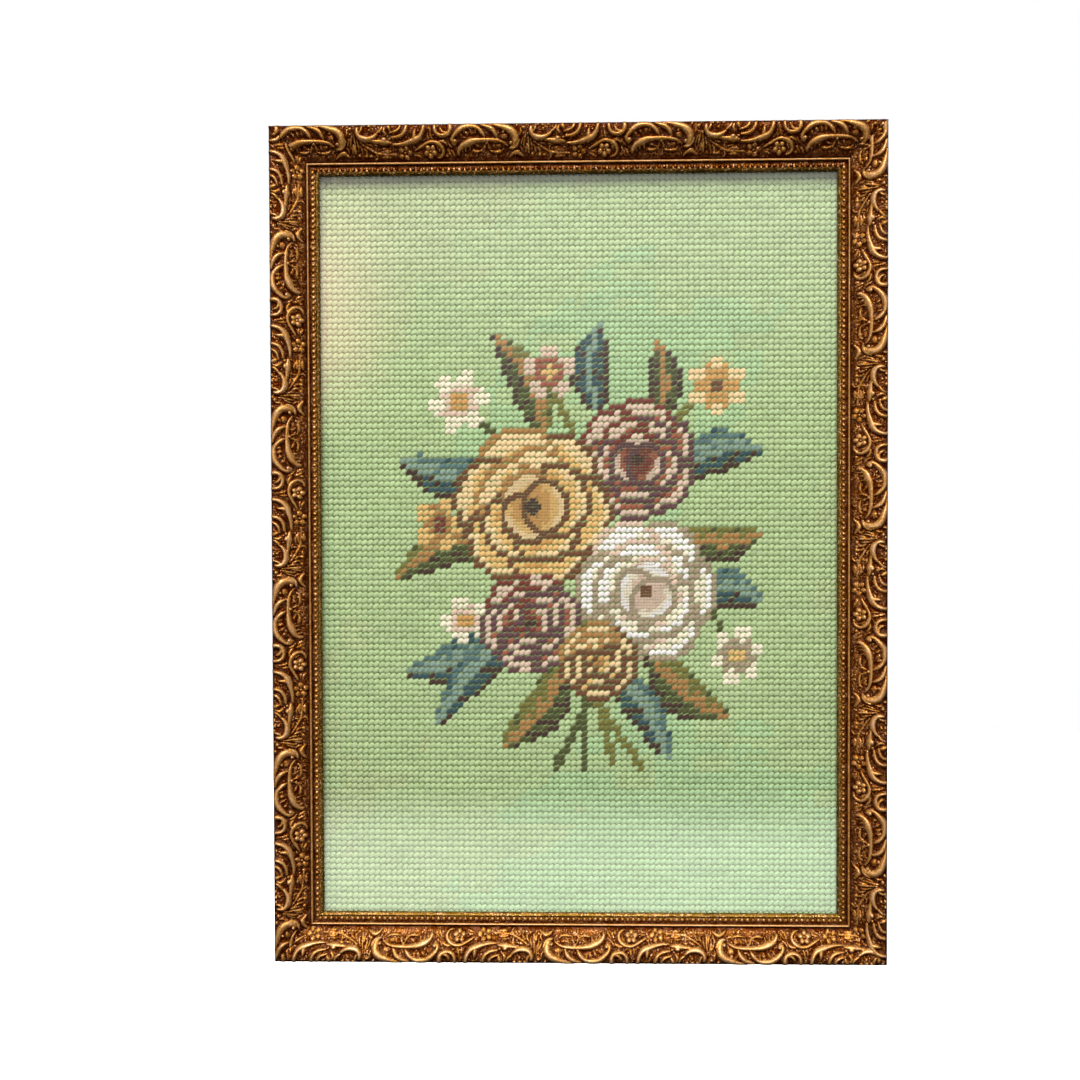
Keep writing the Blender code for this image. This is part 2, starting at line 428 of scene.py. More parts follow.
@dataclass(frozen=True)
class WoolYarn:
    """Two ply tapestry wool. Its colour is stored on the mesh, stitch by stitch."""

    fuzz: float = 0.25
    twists: float = 1.6
    fibre_scale: float = 2600.0
    relief: float = 0.16 * MM

    def material(self) -> bpy.types.Material:
        """Build the material.

        Returns:
            The finished material.
        """
        graph = Graph("needlepoint_wool")
        thread = graph.attribute("thread").outputs["Color"]
        strand = graph.node("ShaderNodeUVMap", uv_map="strand").outputs["UV"]
        twist = graph.node("ShaderNodeTexWave", {
            "Vector": strand, "Scale": self.twists, "Distortion": 1.5, "Detail": 2.0, "Detail Scale": 2.0,
        }, wave_type="BANDS", bands_direction="DIAGONAL")
        fibre = graph.noise(graph.place(), self.fibre_scale, 3.0, 0.7)
        lofted = graph.math("ADD", graph.math("MULTIPLY", twist.outputs["Fac"], 0.6),
                            graph.math("MULTIPLY", fibre, 0.6))
        shade = graph.spread(lofted, 0.25, 0.95, 0.80, 1.08)
        colour = graph.mixed(1.0, thread, graph.node("ShaderNodeCombineColor", {
            "Red": shade, "Green": shade, "Blue": shade,
        }).outputs[0], blend="MULTIPLY")
        normal = graph.bump(lofted, self.relief, 0.9)
        return graph.principled(Base_Color=colour, Roughness=0.82, Sheen_Weight=self.fuzz,
                                Sheen_Roughness=0.45, Specular_IOR_Level=0.35, Normal=normal)


@dataclass(frozen=True)
class CanvasWeave:
    """The double thread cotton canvas under the stitches."""

    thread: Colour = linear(150, 168, 108)
    hole_shade: Colour = linear(90, 106, 50)
    fibre_scale: float = 2200.0
    relief: float = 0.1 * MM

    def material(self) -> bpy.types.Material:
        """Build the material.

        Returns:
            The finished material.
        """
        graph = Graph("needlepoint_canvas")
        count = graph.node("ShaderNodeUVMap", uv_map="count").outputs["UV"]
        split = graph.node("ShaderNodeSeparateXYZ", {"Vector": count}).outputs
        aside = [graph.math("ABSOLUTE", graph.math("SUBTRACT", graph.math("FRACT", split[axis]), 0.5))
                 for axis in ("X", "Y")]
        weave = graph.math("MAXIMUM", aside[0], aside[1])
        fibre = graph.noise(graph.place(), self.fibre_scale, 3.0, 0.6)
        level = graph.math("ADD", weave, graph.spread(fibre, 0.3, 0.7, -0.04, 0.04), clamp=True)
        # Painted shade: the middle of each of the holes between the canvas threads is coloured dark, as the
        # shade in it.
        colour = graph.ramp(level, ((0.14, self.hole_shade), (0.34, self.thread)))
        normal = graph.bump(fibre, self.relief, 0.8)
        return graph.principled(Base_Color=colour, Roughness=0.9, Normal=normal)


@dataclass(frozen=True)
class PaneGlass:
    """Clear picture glass: it lets light straight through and mirrors a little at its face."""

    tint: Colour = (0.985, 0.995, 0.985)
    refraction: float = 1.52
    faces: float = 2.0
    polish: float = 0.03

    def material(self) -> bpy.types.Material:
        """Build the material.

        Returns:
            The finished material.
        """
        graph = Graph("clear_glass")
        through = graph.node("ShaderNodeBsdfTransparent", {"Color": self.tint})
        mirror = graph.node("ShaderNodeBsdfGlossy", {"Color": (1.0, 1.0, 1.0), "Roughness": self.polish})
        fresnel = graph.node("ShaderNodeFresnel", {"IOR": self.refraction}).outputs[0]
        outside = graph.math("SUBTRACT", 1.0, graph.node("ShaderNodeNewGeometry").outputs["Backfacing"])
        mirrored = graph.math("MULTIPLY", fresnel, self.faces)
        both_faces = graph.math("MULTIPLY", mirrored, outside, clamp=True)
        smear = graph.spread(graph.noise(graph.place(), 14.0, 4.0, 0.6), 0.35, 0.75, 0.9, 1.1)
        share = graph.math("MULTIPLY", both_faces, smear, clamp=True)
        return graph.surface(graph.blended(share, through, mirror))


@dataclass(frozen=True)
class Hardboard:
    """Brown pressed board with the print of its wire screen."""

    brown: Colour = linear(126, 86, 54)
    dark: Colour = linear(82, 54, 34)
    screen_pitch: float = 1.6 * MM
    screen_relief: float = 0.3 * MM
    fleck_relief: float = 0.1 * MM

    def material(self) -> bpy.types.Material:
        """Build the material.

        Returns:
            The finished material.
        """
        graph = Graph("brown_hardboard")
        place = graph.place()
        fleck = graph.noise(place, 700.0, 4.0, 0.7)
        cloud = graph.noise(place, 24.0, 3.0, 0.5)
        screens = []
        for bands in ("X", "Z"):
            wave = graph.node("ShaderNodeTexWave", {
                "Vector": place, "Scale": math.pi / 10.0 / self.screen_pitch, "Distortion": 0.4,
            }, wave_type="BANDS", bands_direction=bands)
            screens.append(wave.outputs["Fac"])
        print_mark = graph.math("MULTIPLY", screens[0], screens[1])
        colour = graph.mixed(graph.spread(fleck, 0.35, 0.65, 0.0, 0.8), self.brown, self.dark)
        colour = graph.mixed(graph.spread(cloud, 0.4, 0.7, 0.0, 0.4), colour, self.dark)
        normal = graph.bump(print_mark, self.screen_relief, 0.7)
        normal = graph.bump(fleck, self.fleck_relief, 0.6, normal)
        return graph.principled(Base_Color=colour, Roughness=0.78, Normal=normal)


@dataclass(frozen=True)
class StudioPaper:
    """The pale floor of the studio."""

    white: Colour = (0.86, 0.86, 0.85)
    glow: float = 1.3

    def material(self) -> bpy.types.Material:
        """Build the material.

        Returns:
            The finished material.
        """
        graph = Graph("studio_paper")
        mottle = graph.noise(graph.place(), 8.0, 3.0, 0.5)
        colour = graph.ramp(mottle, ((0.3, tuple(0.98 * part for part in self.white)), (0.7, self.white)))
        normal = graph.bump(graph.noise(graph.place(), 500.0, 2.0, 0.5), 0.0001, 0.3)
        return graph.principled(Base_Color=colour, Roughness=0.9, Normal=normal,
                                Emission_Color=self.white, Emission_Strength=self.glow)


@dataclass
class Shape:
    """A mesh being put together from groups of points and faces."""

    name: str
    points: list[np.ndarray] = field(default_factory=list)
    faces: list[np.ndarray] = field(default_factory=list)
    finishes: list[np.ndarray] = field(default_factory=list)
    count: int = 0

    def add_points(self, points: np.ndarray) -> int:
        """Add points.

        Args:
            points: Their places, one row each.

        Returns:
            The index of the first one.
        """
        first = self.count
        self.points.append(points)
        self.count += len(points)
        return first

    def add_faces(self, corners: np.ndarray, finish: int = 0) -> None:
        """Add faces of one kind.

        Args:
            corners: Point indices, one row for each face.
            finish: Index of the faces' material.
        """
        self.faces.append(corners)
        self.finishes.append(np.full(len(corners), finish))

    def build(self, materials: Sequence[bpy.types.Material], smooth: bool = True) -> bpy.types.Object:
        """Make the object.

        Args:
            materials: Its materials, in the order of the faces' finish indices.
            smooth: True to shade the faces smooth.

        Returns:
            The new object, linked into the scene.
        """
        mesh = bpy.data.meshes.new(self.name)
        points = np.concatenate(self.points).astype(np.float32)
        corners = np.concatenate([group.ravel() for group in self.faces]).astype(np.int32)
        sizes = np.concatenate([np.full(len(group), group.shape[1]) for group in self.faces])
        mesh.vertices.add(len(points))
        mesh.vertices.foreach_set("co", points.ravel())
        mesh.loops.add(len(corners))
        mesh.polygons.add(len(sizes))
        mesh.polygons.foreach_set("loop_start", (np.cumsum(sizes) - sizes).astype(np.int32))
        mesh.polygons.foreach_set("vertices", corners)
        mesh.polygons.foreach_set("material_index", np.concatenate(self.finishes).astype(np.int32))
        mesh.update(calc_edges=True)
        for material in materials:
            mesh.materials.append(material)
        if smooth:
            mesh.shade_smooth()
        made = bpy.data.objects.new(self.name, mesh)
        bpy.context.scene.collection.objects.link(made)
        return made


def grid_faces(grid: np.ndarray) -> np.ndarray:
    """Join a grid of points into faces.

    Args:
        grid: Point indices, in rows and columns.

    Returns:
        Four corners for each face.
    """
    corners = (grid[:-1, :-1], grid[:-1, 1:], grid[1:, 1:], grid[1:, :-1])
    return np.stack(corners, axis=-1).reshape(-1, 4)


def fan_faces(many: np.ndarray, pair: np.ndarray, reverse: bool = False) -> np.ndarray:
    """Fill the flat strip between a row of points and the two ends of a line.

    Args:
        many: The row of points.
        pair: The line's first and last point.
        reverse: True to turn the faces over.

    Returns:
        Three corners for each face.
    """
    middle = len(many) // 2
    near = np.stack((np.full(middle, pair[0]), many[1:middle + 1], many[:middle]), axis=-1)
    far_count = len(many) - 1 - middle
    far = np.stack((np.full(far_count, pair[1]), many[middle + 1:], many[middle:-1]), axis=-1)
    faces = np.vstack((near, [[pair[0], pair[1], many[middle]]], far))
    return faces[:, ::-1] if reverse else faces


def store_value(mesh: bpy.types.Mesh, name: str, values: np.ndarray) -> None:
    """Store one number for each point of a mesh."""
    mesh.attributes.new(name, "FLOAT", "POINT").data.foreach_set("value", values.astype(np.float32))


def store_uv(mesh: bpy.types.Mesh, name: str, values: np.ndarray) -> None:
    """Store flat coordinates for each corner of a mesh, from one pair for each point.

    Args:
        mesh: The mesh.
        name: Name of the coordinates.
        values: One row of two for each point.
    """
    corners = np.empty(len(mesh.loops), np.int32)
    mesh.loops.foreach_get("vertex_index", corners)
    layer = mesh.uv_layers.new(name=name)
    layer.data.foreach_set("uv", values[corners].astype(np.float32).ravel())


def dress(piece: bpy.types.Object, slot: str, *nodes: str) -> bpy.types.Object:
    """Fix a piece to the picture.

    Args:
        piece: The piece.
        slot: A material slot's name; not used.
        *nodes: Solids that it stands for.

    Returns:
        The same piece.
    """
    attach(piece, "root")
    if nodes:
        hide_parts(*nodes)
    piece.data.calc_loop_triangles()
    LOG.info("%s: %d triangles", piece.name, len(piece.data.loop_triangles))
    return piece


class Ridge(NamedTuple):
    """A carved rib: its height and its route, as along, across and width, in millimetres."""

    height: float
    route: tuple[tuple[float, float, float], ...]


class Knob(NamedTuple):
    """A carved oval, in millimetres and degrees."""

    along: float
    across: float
    length: float
    width: float
    turn: float
    height: float


class Bloom(NamedTuple):
    """A carved flower: round petals about a heart, in millimetres."""

    along: float
    across: float
    reach: float
    petals: int
    petal: float
    turn: float
    height: float


SHELL_RIDGES = (
    Ridge(2.2, ((0.8, 0.5, 1.1), (1.0, 2.4, 1.3), (1.5, 4.2, 1.5), (2.3, 5.7, 1.7), (3.5, 6.9, 2.0),
                (5.1, 7.6, 2.1), (7.0, 8.2, 1.8), (9.2, 8.8, 1.4), (11.7, 9.2, 1.1), (14.4, 9.2, 0.7))),
    Ridge(2.0, ((5.3, 7.4, 1.8), (5.0, 6.2, 1.6), (4.9, 4.9, 1.2), (4.8, 3.6, 0.7))),
    Ridge(1.6, ((8.4, 0.5, 1.1), (8.7, 2.4, 1.3), (9.4, 4.2, 1.5), (10.6, 5.3, 1.4), (12.2, 6.0, 1.3),
                (14.9, 6.4, 0.8))),
    Ridge(1.4, ((11.0, 0.8, 0.9), (11.7, 2.5, 1.2), (13.0, 3.6, 1.2), (15.5, 4.4, 0.7))),
    Ridge(1.3, ((15.6, 3.4, 0.8), (16.0, 2.2, 1.5), (16.6, 0.8, 1.3))),
    Ridge(1.3, ((17.6, 4.8, 0.9), (18.3, 3.6, 1.2), (17.9, 1.9, 0.8))),
    Ridge(1.3, ((21.4, 4.4, 0.9), (19.9, 3.3, 1.2), (18.9, 1.6, 0.8))),
    Ridge(2.0, ((15.5, 8.5, 0.9), (17.2, 8.4, 1.6), (18.8, 8.3, 2.0), (20.6, 8.1, 1.6), (22.6, 7.9, 1.3),
                (25.0, 7.6, 0.9))),
    Ridge(2.3, ((21.6, 5.1, 0.9), (23.1, 6.2, 1.4), (24.8, 6.9, 1.8), (26.6, 7.0, 2.0), (28.4, 6.5, 1.9),
                (29.6, 5.4, 1.6), (30.1, 3.9, 1.4), (30.0, 2.4, 1.0))),
    Ridge(1.5, ((29.8, 4.6, 0.8), (28.8, 4.0, 1.0), (28.2, 2.7, 1.0), (28.0, 1.3, 0.7))),
)
STEM_RIDGES = (
    Ridge(1.0, ((13.4, 13.3, 0.6), (16.2, 13.2, 0.8), (19.5, 13.0, 0.9), (21.8, 12.6, 0.9),
                (23.6, 11.7, 0.9), (25.5, 10.6, 0.8), (27.4, 9.4, 0.7), (29.0, 8.2, 0.5))),
    Ridge(1.0, ((16.1, 14.4, 0.8), (17.8, 14.2, 1.6), (19.3, 14.4, 0.9))),
    Ridge(0.9, ((21.5, 14.2, 0.6), (21.8, 13.3, 0.8), (22.4, 12.6, 0.5))),
    Ridge(0.8, ((21.4, 14.4, 0.5), (22.0, 15.0, 0.7), (22.7, 15.4, 0.5))),
    Ridge(1.0, ((15.8, 12.2, 0.7), (17.6, 12.0, 1.6), (19.6, 12.2, 0.8))),
    Ridge(0.8, ((16.6, 11.2, 0.5), (18.4, 10.9, 1.0), (20.0, 11.0, 0.5))),
    Ridge(0.9, ((22.0, 11.6, 0.5), (22.0, 10.8, 0.8), (21.9, 10.1, 0.5))),
    Ridge(0.9, ((26.1, 13.0, 0.6), (26.4, 11.8, 0.8), (27.3, 10.7, 0.5))),
    Ridge(0.8, ((23.4, 9.6, 0.4), (25.0, 9.2, 0.8), (26.8, 8.7, 0.4))),
    Ridge(0.8, ((20.4, 9.8, 0.4), (21.8, 9.4, 0.8), (23.2, 9.1, 0.4))),
)
FAN_RIDGES = (
    Ridge(1.4, ((31.1, 12.8, 0.7), (31.3, 11.4, 1.2), (31.2, 9.6, 0.8), (31.3, 7.6, 0.7), (31.6, 5.0, 0.5))),
    Ridge(1.2, ((32.5, 12.6, 0.5), (32.2, 11.2, 0.9), (31.9, 9.4, 0.5))),
    Ridge(1.1, ((29.7, 11.6, 0.4), (29.8, 9.8, 0.8), (30.3, 7.6, 0.5))),
    Ridge(1.1, ((33.2, 11.0, 0.4), (33.2, 9.2, 0.8), (32.6, 6.8, 0.7), (32.2, 4.4, 0.5))),
    Ridge(1.0, ((34.6, 10.2, 0.4), (34.2, 8.6, 0.8), (33.2, 6.4, 0.5))),
    Ridge(1.0, ((28.0, 12.6, 0.5), (28.3, 11.2, 0.8), (28.9, 9.8, 0.5))),
    Ridge(0.9, ((33.9, 12.6, 0.4), (34.3, 11.4, 0.8), (35.0, 10.4, 0.4))),
    Ridge(1.0, ((34.9, 5.8, 0.5), (34.5, 4.4, 0.9), (34.6, 2.8, 0.5))),
    Ridge(1.6, ((33.8, 14.4, 0.5), (35.2, 13.3, 1.2), (36.6, 12.7, 1.7), (38.2, 13.3, 1.2),
                (39.8, 14.8, 0.5))),
)
LONG_SCROLL_RIDGES = (
    Ridge(2.2, ((38.3, 10.6, 1.2), (37.4, 9.8, 2.0), (36.9, 8.2, 2.5), (37.0, 6.4, 2.6), (37.8, 4.8, 2.7),
                (39.3, 3.4, 2.6), (41.3, 2.5, 2.4), (43.3, 1.8, 2.0), (45.6, 1.2, 1.5), (48.6, 0.7, 1.0))),
    Ridge(1.9, ((39.2, 11.1, 0.8), (37.8, 11.1, 0.9), (36.6, 10.4, 0.9), (35.7, 9.2, 0.8),
                (35.2, 7.8, 0.6))),
    Ridge(1.9, ((45.0, 7.0, 0.7), (45.5, 5.6, 1.3), (46.3, 4.1, 1.7), (47.6, 2.8, 1.8), (49.4, 1.9, 1.6),
                (51.8, 1.2, 1.0))),
    Ridge(2.1, ((50.4, 6.5, 0.7), (51.1, 5.2, 1.3), (52.1, 3.9, 1.5), (53.5, 2.6, 1.6), (55.3, 1.8, 1.9),
                (57.4, 1.7, 2.2), (59.4, 2.1, 2.2), (61.3, 3.3, 2.0), (62.9, 4.8, 1.7), (64.1, 6.2, 1.4),
                (64.6, 7.5, 1.3), (64.3, 8.6, 1.2), (63.5, 9.1, 1.1))),
    Ridge(1.0, ((54.2, 4.9, 0.5), (54.4, 3.8, 0.9), (54.8, 2.8, 0.6))),
    Ridge(0.9, ((56.0, 5.4, 0.4), (56.3, 4.4, 0.9), (56.8, 3.4, 0.5))),
    Ridge(0.9, ((58.0, 5.6, 0.4), (58.3, 4.8, 0.9), (59.0, 3.8, 0.5))),
    Ridge(0.8, ((60.2, 6.6, 0.4), (60.5, 5.7, 0.9), (61.2, 4.9, 0.5))),
)
BOAT_RIDGES = (
    Ridge(2.2, ((40.4, 10.0, 0.4), (41.6, 9.1, 0.7), (43.2, 8.3, 0.9), (45.3, 7.9, 1.2), (48.0, 7.7, 1.3),
                (51.0, 7.7, 1.4), (53.8, 7.9, 1.7), (56.0, 8.3, 2.1), (58.0, 9.1, 2.4), (59.8, 9.9, 2.1),
                (61.2, 11.0, 1.6), (62.0, 12.4, 1.3), (62.0, 13.2, 0.9))),
    Ridge(1.5, ((58.6, 10.2, 1.0), (58.9, 11.2, 0.8), (58.7, 12.2, 0.4))),
    Ridge(1.3, ((56.6, 9.6, 0.9), (57.0, 10.7, 0.8), (56.8, 11.8, 0.4))),
    Ridge(1.3, ((60.2, 11.0, 0.8), (60.4, 12.0, 0.8), (60.1, 13.0, 0.4))),
    Ridge(1.1, ((42.5, 11.4, 0.5), (43.2, 12.2, 0.8), (44.9, 12.5, 1.0), (46.4, 12.4, 0.9),
                (48.0, 12.0, 0.5))),
    Ridge(1.1, ((51.5, 11.3, 0.5), (52.3, 12.1, 0.8), (54.0, 12.3, 1.0), (55.9, 11.9, 0.5))),
    Ridge(0.9, ((48.2, 11.5, 0.5), (48.6, 10.2, 0.8), (49.0, 8.8, 0.6))),
    Ridge(0.9, ((51.1, 12.3, 0.5), (50.7, 10.9, 0.8), (50.0, 8.9, 0.6))),
    Ridge(0.7, ((45.6, 11.2, 0.5), (46.2, 10.2, 0.9), (46.6, 9.2, 0.5))),
    Ridge(0.7, ((52.6, 10.8, 0.5), (53.4, 10.0, 0.9), (54.6, 9.4, 0.5))),
)
ARCH_RIDGES = (
    Ridge(1.9, ((65.5, 0.6, 1.5), (65.4, 2.6, 1.7), (65.9, 4.4, 1.6), (67.3, 5.4, 1.5), (69.2, 5.7, 1.4),
                (70.8, 5.2, 1.4), (71.8, 4.1, 1.3), (72.2, 2.6, 1.2), (72.3, 0.6, 1.0))),
    Ridge(1.6, ((66.4, 4.4, 1.1), (67.8, 4.6, 1.2), (69.0, 3.9, 1.1), (69.7, 2.6, 0.7))),
    Ridge(1.7, ((71.4, 14.8, 0.6), (70.1, 14.5, 0.9), (69.0, 13.4, 1.1), (68.7, 11.9, 1.3),
                (69.4, 10.3, 1.6), (70.8, 9.1, 1.6), (72.6, 8.4, 1.3), (74.6, 8.4, 1.2),
                (76.6, 9.2, 1.1), (78.6, 10.3, 1.0), (80.9, 11.5, 0.6))),
    Ridge(1.2, ((67.1, 9.4, 0.7), (67.9, 8.6, 1.1), (69.4, 8.1, 1.1), (70.6, 8.2, 0.7))),
    Ridge(1.0, ((70.0, 12.2, 0.5), (70.5, 11.2, 0.8), (71.4, 10.3, 0.5))),
    Ridge(0.9, ((73.4, 7.4, 0.4), (73.9, 6.0, 0.9), (74.2, 4.2, 0.6), (74.3, 2.4, 0.4))),
    Ridge(0.8, ((75.2, 7.6, 0.4), (75.4, 6.2, 0.8), (75.3, 4.6, 0.5))),
    Ridge(0.8, ((63.6, 14.4, 0.4), (64.2, 13.0, 0.8), (65.2, 11.6, 0.5))),
    Ridge(0.8, ((65.4, 14.2, 0.4), (65.9, 12.8, 0.8), (66.6, 11.2, 0.5))),
    Ridge(0.8, ((64.9, 10.4, 0.4), (65.9, 9.6, 0.8), (66.6, 8.2, 0.5))),
    Ridge(0.8, ((2.0, 14.6, 0.5), (3.2, 13.9, 0.9), (4.4, 13.4, 0.5))),
    Ridge(0.8, ((1.6, 13.0, 0.5), (2.8, 12.7, 0.8), (4.2, 12.6, 0.5))),
)
KNOBS = (
    Knob(18.4, 7.4, 3.0, 2.6, 0.0, 2.2),
    Knob(16.0, 7.0, 1.6, 1.4, 0.0, 1.6),
    Knob(22.4, 1.2, 1.9, 1.3, 0.0, 1.3),
    Knob(24.9, 1.3, 1.7, 1.4, 0.0, 1.3),
    Knob(27.0, 1.2, 1.5, 1.3, 0.0, 1.3),
    Knob(24.7, 3.0, 1.1, 1.6, 0.0, 0.9),
    Knob(38.9, 9.0, 1.9, 1.8, 0.0, 2.3),
    Knob(63.3, 8.2, 2.2, 2.1, 0.0, 2.2),
    Knob(41.8, 6.3, 3.2, 2.8, 0.0, 0.9),
    Knob(44.4, 10.1, 2.4, 1.8, 0.0, 0.6),
    Knob(33.2, 2.5, 2.0, 1.7, 0.0, 1.3),
    Knob(36.2, 1.4, 1.2, 1.5, 0.0, 1.2),
    Knob(32.0, 1.2, 1.2, 1.1, 0.0, 0.9),
    Knob(26.4, 13.8, 1.7, 1.6, 0.0, 1.1),
    Knob(24.4, 13.8, 1.7, 1.3, 0.0, 0.6),
    Knob(29.6, 13.6, 1.5, 1.2, 0.0, 0.8),
    Knob(49.4, 8.8, 1.7, 1.3, 0.0, 1.7),
    Knob(42.2, 4.4, 1.6, 1.5, 0.0, 1.2),
    Knob(67.0, 13.9, 1.4, 1.4, 0.0, 0.7),
)
BLOOMS = (
    Bloom(74.3, 12.2, 1.75, 5, 2.5, 90.0, 1.8),
    Bloom(9.3, 12.7, 2.1, 5, 2.4, 38.0, 0.95),
)


@dataclass
class CarvedPattern:
    """One repeat of the carving, worked out as a field of heights."""

    repeat: float = 76.2
    squeeze: float = 0.975
    width: float = 16.0
    step: float = 0.1
    tallest: float = 2.3
    slim_swell: float = 0.96
    swell_per_height: float = 0.24
    skirt_width: float = 2.2
    skirt_height: float = 0.36
    pip_pitch: float = 1.02
    pip_rows: int = 14
    cut_pitch: float = 0.635
    cut_from: float = 11.4
    cut_to: float = 14.4
    line_blur: int = 4
    body_blur: int = 14

    def __post_init__(self) -> None:
        """Carve the field, from the ribs and flowers down to the tooled ground."""
        self.columns = round(self.repeat / self.step)
        self.rows = round(self.width / self.step) + 1
        self.field = np.zeros((self.rows, self.columns))
        groups = (SHELL_RIDGES, STEM_RIDGES, FAN_RIDGES, LONG_SCROLL_RIDGES, BOAT_RIDGES, ARCH_RIDGES)
        for ridge in (ridge for group in groups for ridge in group):
            self.carve_ridge(ridge)
        for knob in KNOBS:
            self.carve_oval(knob)
        for bloom in BLOOMS:
            self.carve_bloom(bloom)
        self.tool_ground()
        self.crest = self.find_crest()

    def carve_oval(self, knob: Knob, power: float = 0.62) -> None:
        """Raise one oval, where it stands above what is there.

        Args:
            knob: The oval.
            power: Steepness of its sides.
        """
        reach = int(max(knob.length, knob.width) / 2 / self.step) + 1
        middle_column = round(knob.along / self.step)
        middle_row = round(knob.across / self.step)
        rows = np.arange(max(0, middle_row - reach), min(self.rows, middle_row + reach + 1))
        columns = np.arange(middle_column - reach, middle_column + reach + 1)
        if not len(rows):
            return
        step = columns[None, :] * self.step - knob.along
        rise = rows[:, None] * self.step - knob.across
        angle = math.radians(knob.turn)
        long = (step * math.cos(angle) + rise * math.sin(angle)) / (knob.length / 2)
        wide = (rise * math.cos(angle) - step * math.sin(angle)) / (knob.width / 2)
        bulge = knob.height * np.clip(1.0 - long ** 2 - wide ** 2, 0.0, 1.0) ** power
        window = np.ix_(rows, columns % self.columns)
        self.field[window] = np.maximum(self.field[window], bulge)

    def carve_ridge(self, ridge: Ridge) -> None:
        """Sweep a round tool along a rib's route, over the rib's broad foot.

        Args:
            ridge: The rib.
        """
        route = smooth_route(np.array(ridge.route), self.step)
        widest = route[:, 2].max()
        swell = self.slim_swell + self.swell_per_height * ridge.height
        for along, across, width in route:
            height = ridge.height * (width / widest) ** 0.5
            rib = width * swell
            foot = width * self.skirt_width
            self.carve_oval(Knob(along, across, rib, rib, 0.0, height))
            self.carve_oval(Knob(along, across, foot, foot, 0.0, height * self.skirt_height), 1.2)

    def carve_bloom(self, bloom: Bloom) -> None:
        """Raise a flower's petals as ovals that point at its heart, and the heart.

        Args:
            bloom: The flower.
        """
        for petal in range(bloom.petals):
            turn = math.radians(bloom.turn + 360.0 * petal / bloom.petals)
            along = bloom.along + bloom.reach * math.cos(turn)
            across = bloom.across + bloom.reach * math.sin(turn)
            self.carve_oval(
                Knob(along, across, bloom.petal * 1.1, bloom.petal, math.degrees(turn), bloom.height), 0.5)
        self.carve_oval(Knob(bloom.along, bloom.across, 1.2, 1.2, 0.0, bloom.height * 1.05))

    def tool_ground(self) -> None:
        """Work the bare ground: pips all over, and fine cuts across it next to the fillet."""
        motifs = self.field
        self.field = np.zeros_like(motifs)
        pitch = self.pip_pitch
        pips_along = np.arange(round(self.repeat / pitch))
        cells = np.stack(np.meshgrid(pips_along, np.arange(self.pip_rows)), axis=-1)
        for column, row in cells.reshape(-1, 2).astype(float):
            chance, right, up, size = (float(speckle(column, row, seed)) for seed in (1.0, 2.0, 3.0, 4.0))
            along = (column + 0.2 + 0.6 * right) * pitch
            across = (row + 0.2 + 0.6 * up) * pitch
            if chance < 0.5:
                self.carve_oval(Knob(along, across, 0.9, 0.8 + 0.4 * size, 0.0, 0.16 + 0.34 * size))
            elif chance < 0.85:
                self.carve_oval(Knob(along, across, 1.6 + size, 0.65, 180.0 * right, 0.20 + 0.36 * size))
        for cut in range(round(self.repeat / self.cut_pitch)):
            first, last, lift = (float(speckle(np.float64(cut), 7.0, seed)) for seed in (5.0, 6.0, 8.0))
            low = self.cut_from + 1.6 * first
            high = self.cut_to + last
            along = (cut + 0.3 * first) * self.cut_pitch
            self.carve_oval(Knob(along, (low + high) / 2, 0.55, high - low, 0.0, 0.14 + 0.32 * lift))
        self.field = motifs + self.field * np.clip(1.0 - motifs, 0.0, 1.0)

    def find_crest(self) -> np.ndarray:
        """Tell ridges from hollows, with a thin line along each crest that is partly wear and partly painted
        highlight.

        Returns:
            Values from 0 in a hollow to 1 on a crest, half way on even ground.
        """
        soft = blurred(self.field, 1)
        lift = soft - blurred(self.field, self.line_blur)
        # Painted highlight: a thin bright line along each crest, partly wear on the gold and partly standing
        # for the shine of the lamps on it.
        line = 0.31 * lift / (np.abs(lift) + 0.20)
        body = np.clip((soft - blurred(self.field, self.body_blur)) / 2.4, -0.25, 0.34)
        return np.clip(0.48 + line + body, 0.0, 1.0)

    def read(self, field: np.ndarray, along: np.ndarray, across: np.ndarray) -> np.ndarray:
        """Sample a field between its points.

        Args:
            field: The heights or the crest values.
            along: Distances along the moulding, in millimetres.
            across: Distances from the outer edge, in millimetres.

        Returns:
            The field's value at each place.
        """
        column = along / self.step
        row = np.clip(across / self.squeeze / self.step, 0, self.rows - 1.001)
        left = np.floor(column).astype(int)
        low = np.floor(row).astype(int)
        right_share = column - left
        up_share = row - low
        left, right = left % self.columns, (left + 1) % self.columns
        lower = field[low, left] * (1 - right_share) + field[low, right] * right_share
        upper = field[low + 1, left] * (1 - right_share) + field[low + 1, right] * right_share
        return lower * (1 - up_share) + upper * up_share


def smooth_route(points: np.ndarray, step: float) -> np.ndarray:
    """Run a smooth curve through a few points.

    Args:
        points: The points, one row each, of any width.
        step: Greatest distance between the curve's points, in the first two columns.

    Returns:
        Points along the curve.
    """
    padded = np.vstack([2 * points[0] - points[1], points, 2 * points[-1] - points[-2]])
    runs = []
    for before, start, end, after in zip(padded, padded[1:], padded[2:], padded[3:]):
        count = max(2, math.ceil(np.linalg.norm((end - start)[:2]) / step))
        share = np.linspace(0.0, 1.0, count, endpoint=False)[:, None]
        runs.append(0.5 * (
            2 * start
            + (end - before) * share
            + (2 * before - 5 * start + 4 * end - after) * share ** 2
            + (3 * start - before - 3 * end + after) * share ** 3
        ))
    return np.vstack([*runs, points[-1:]])


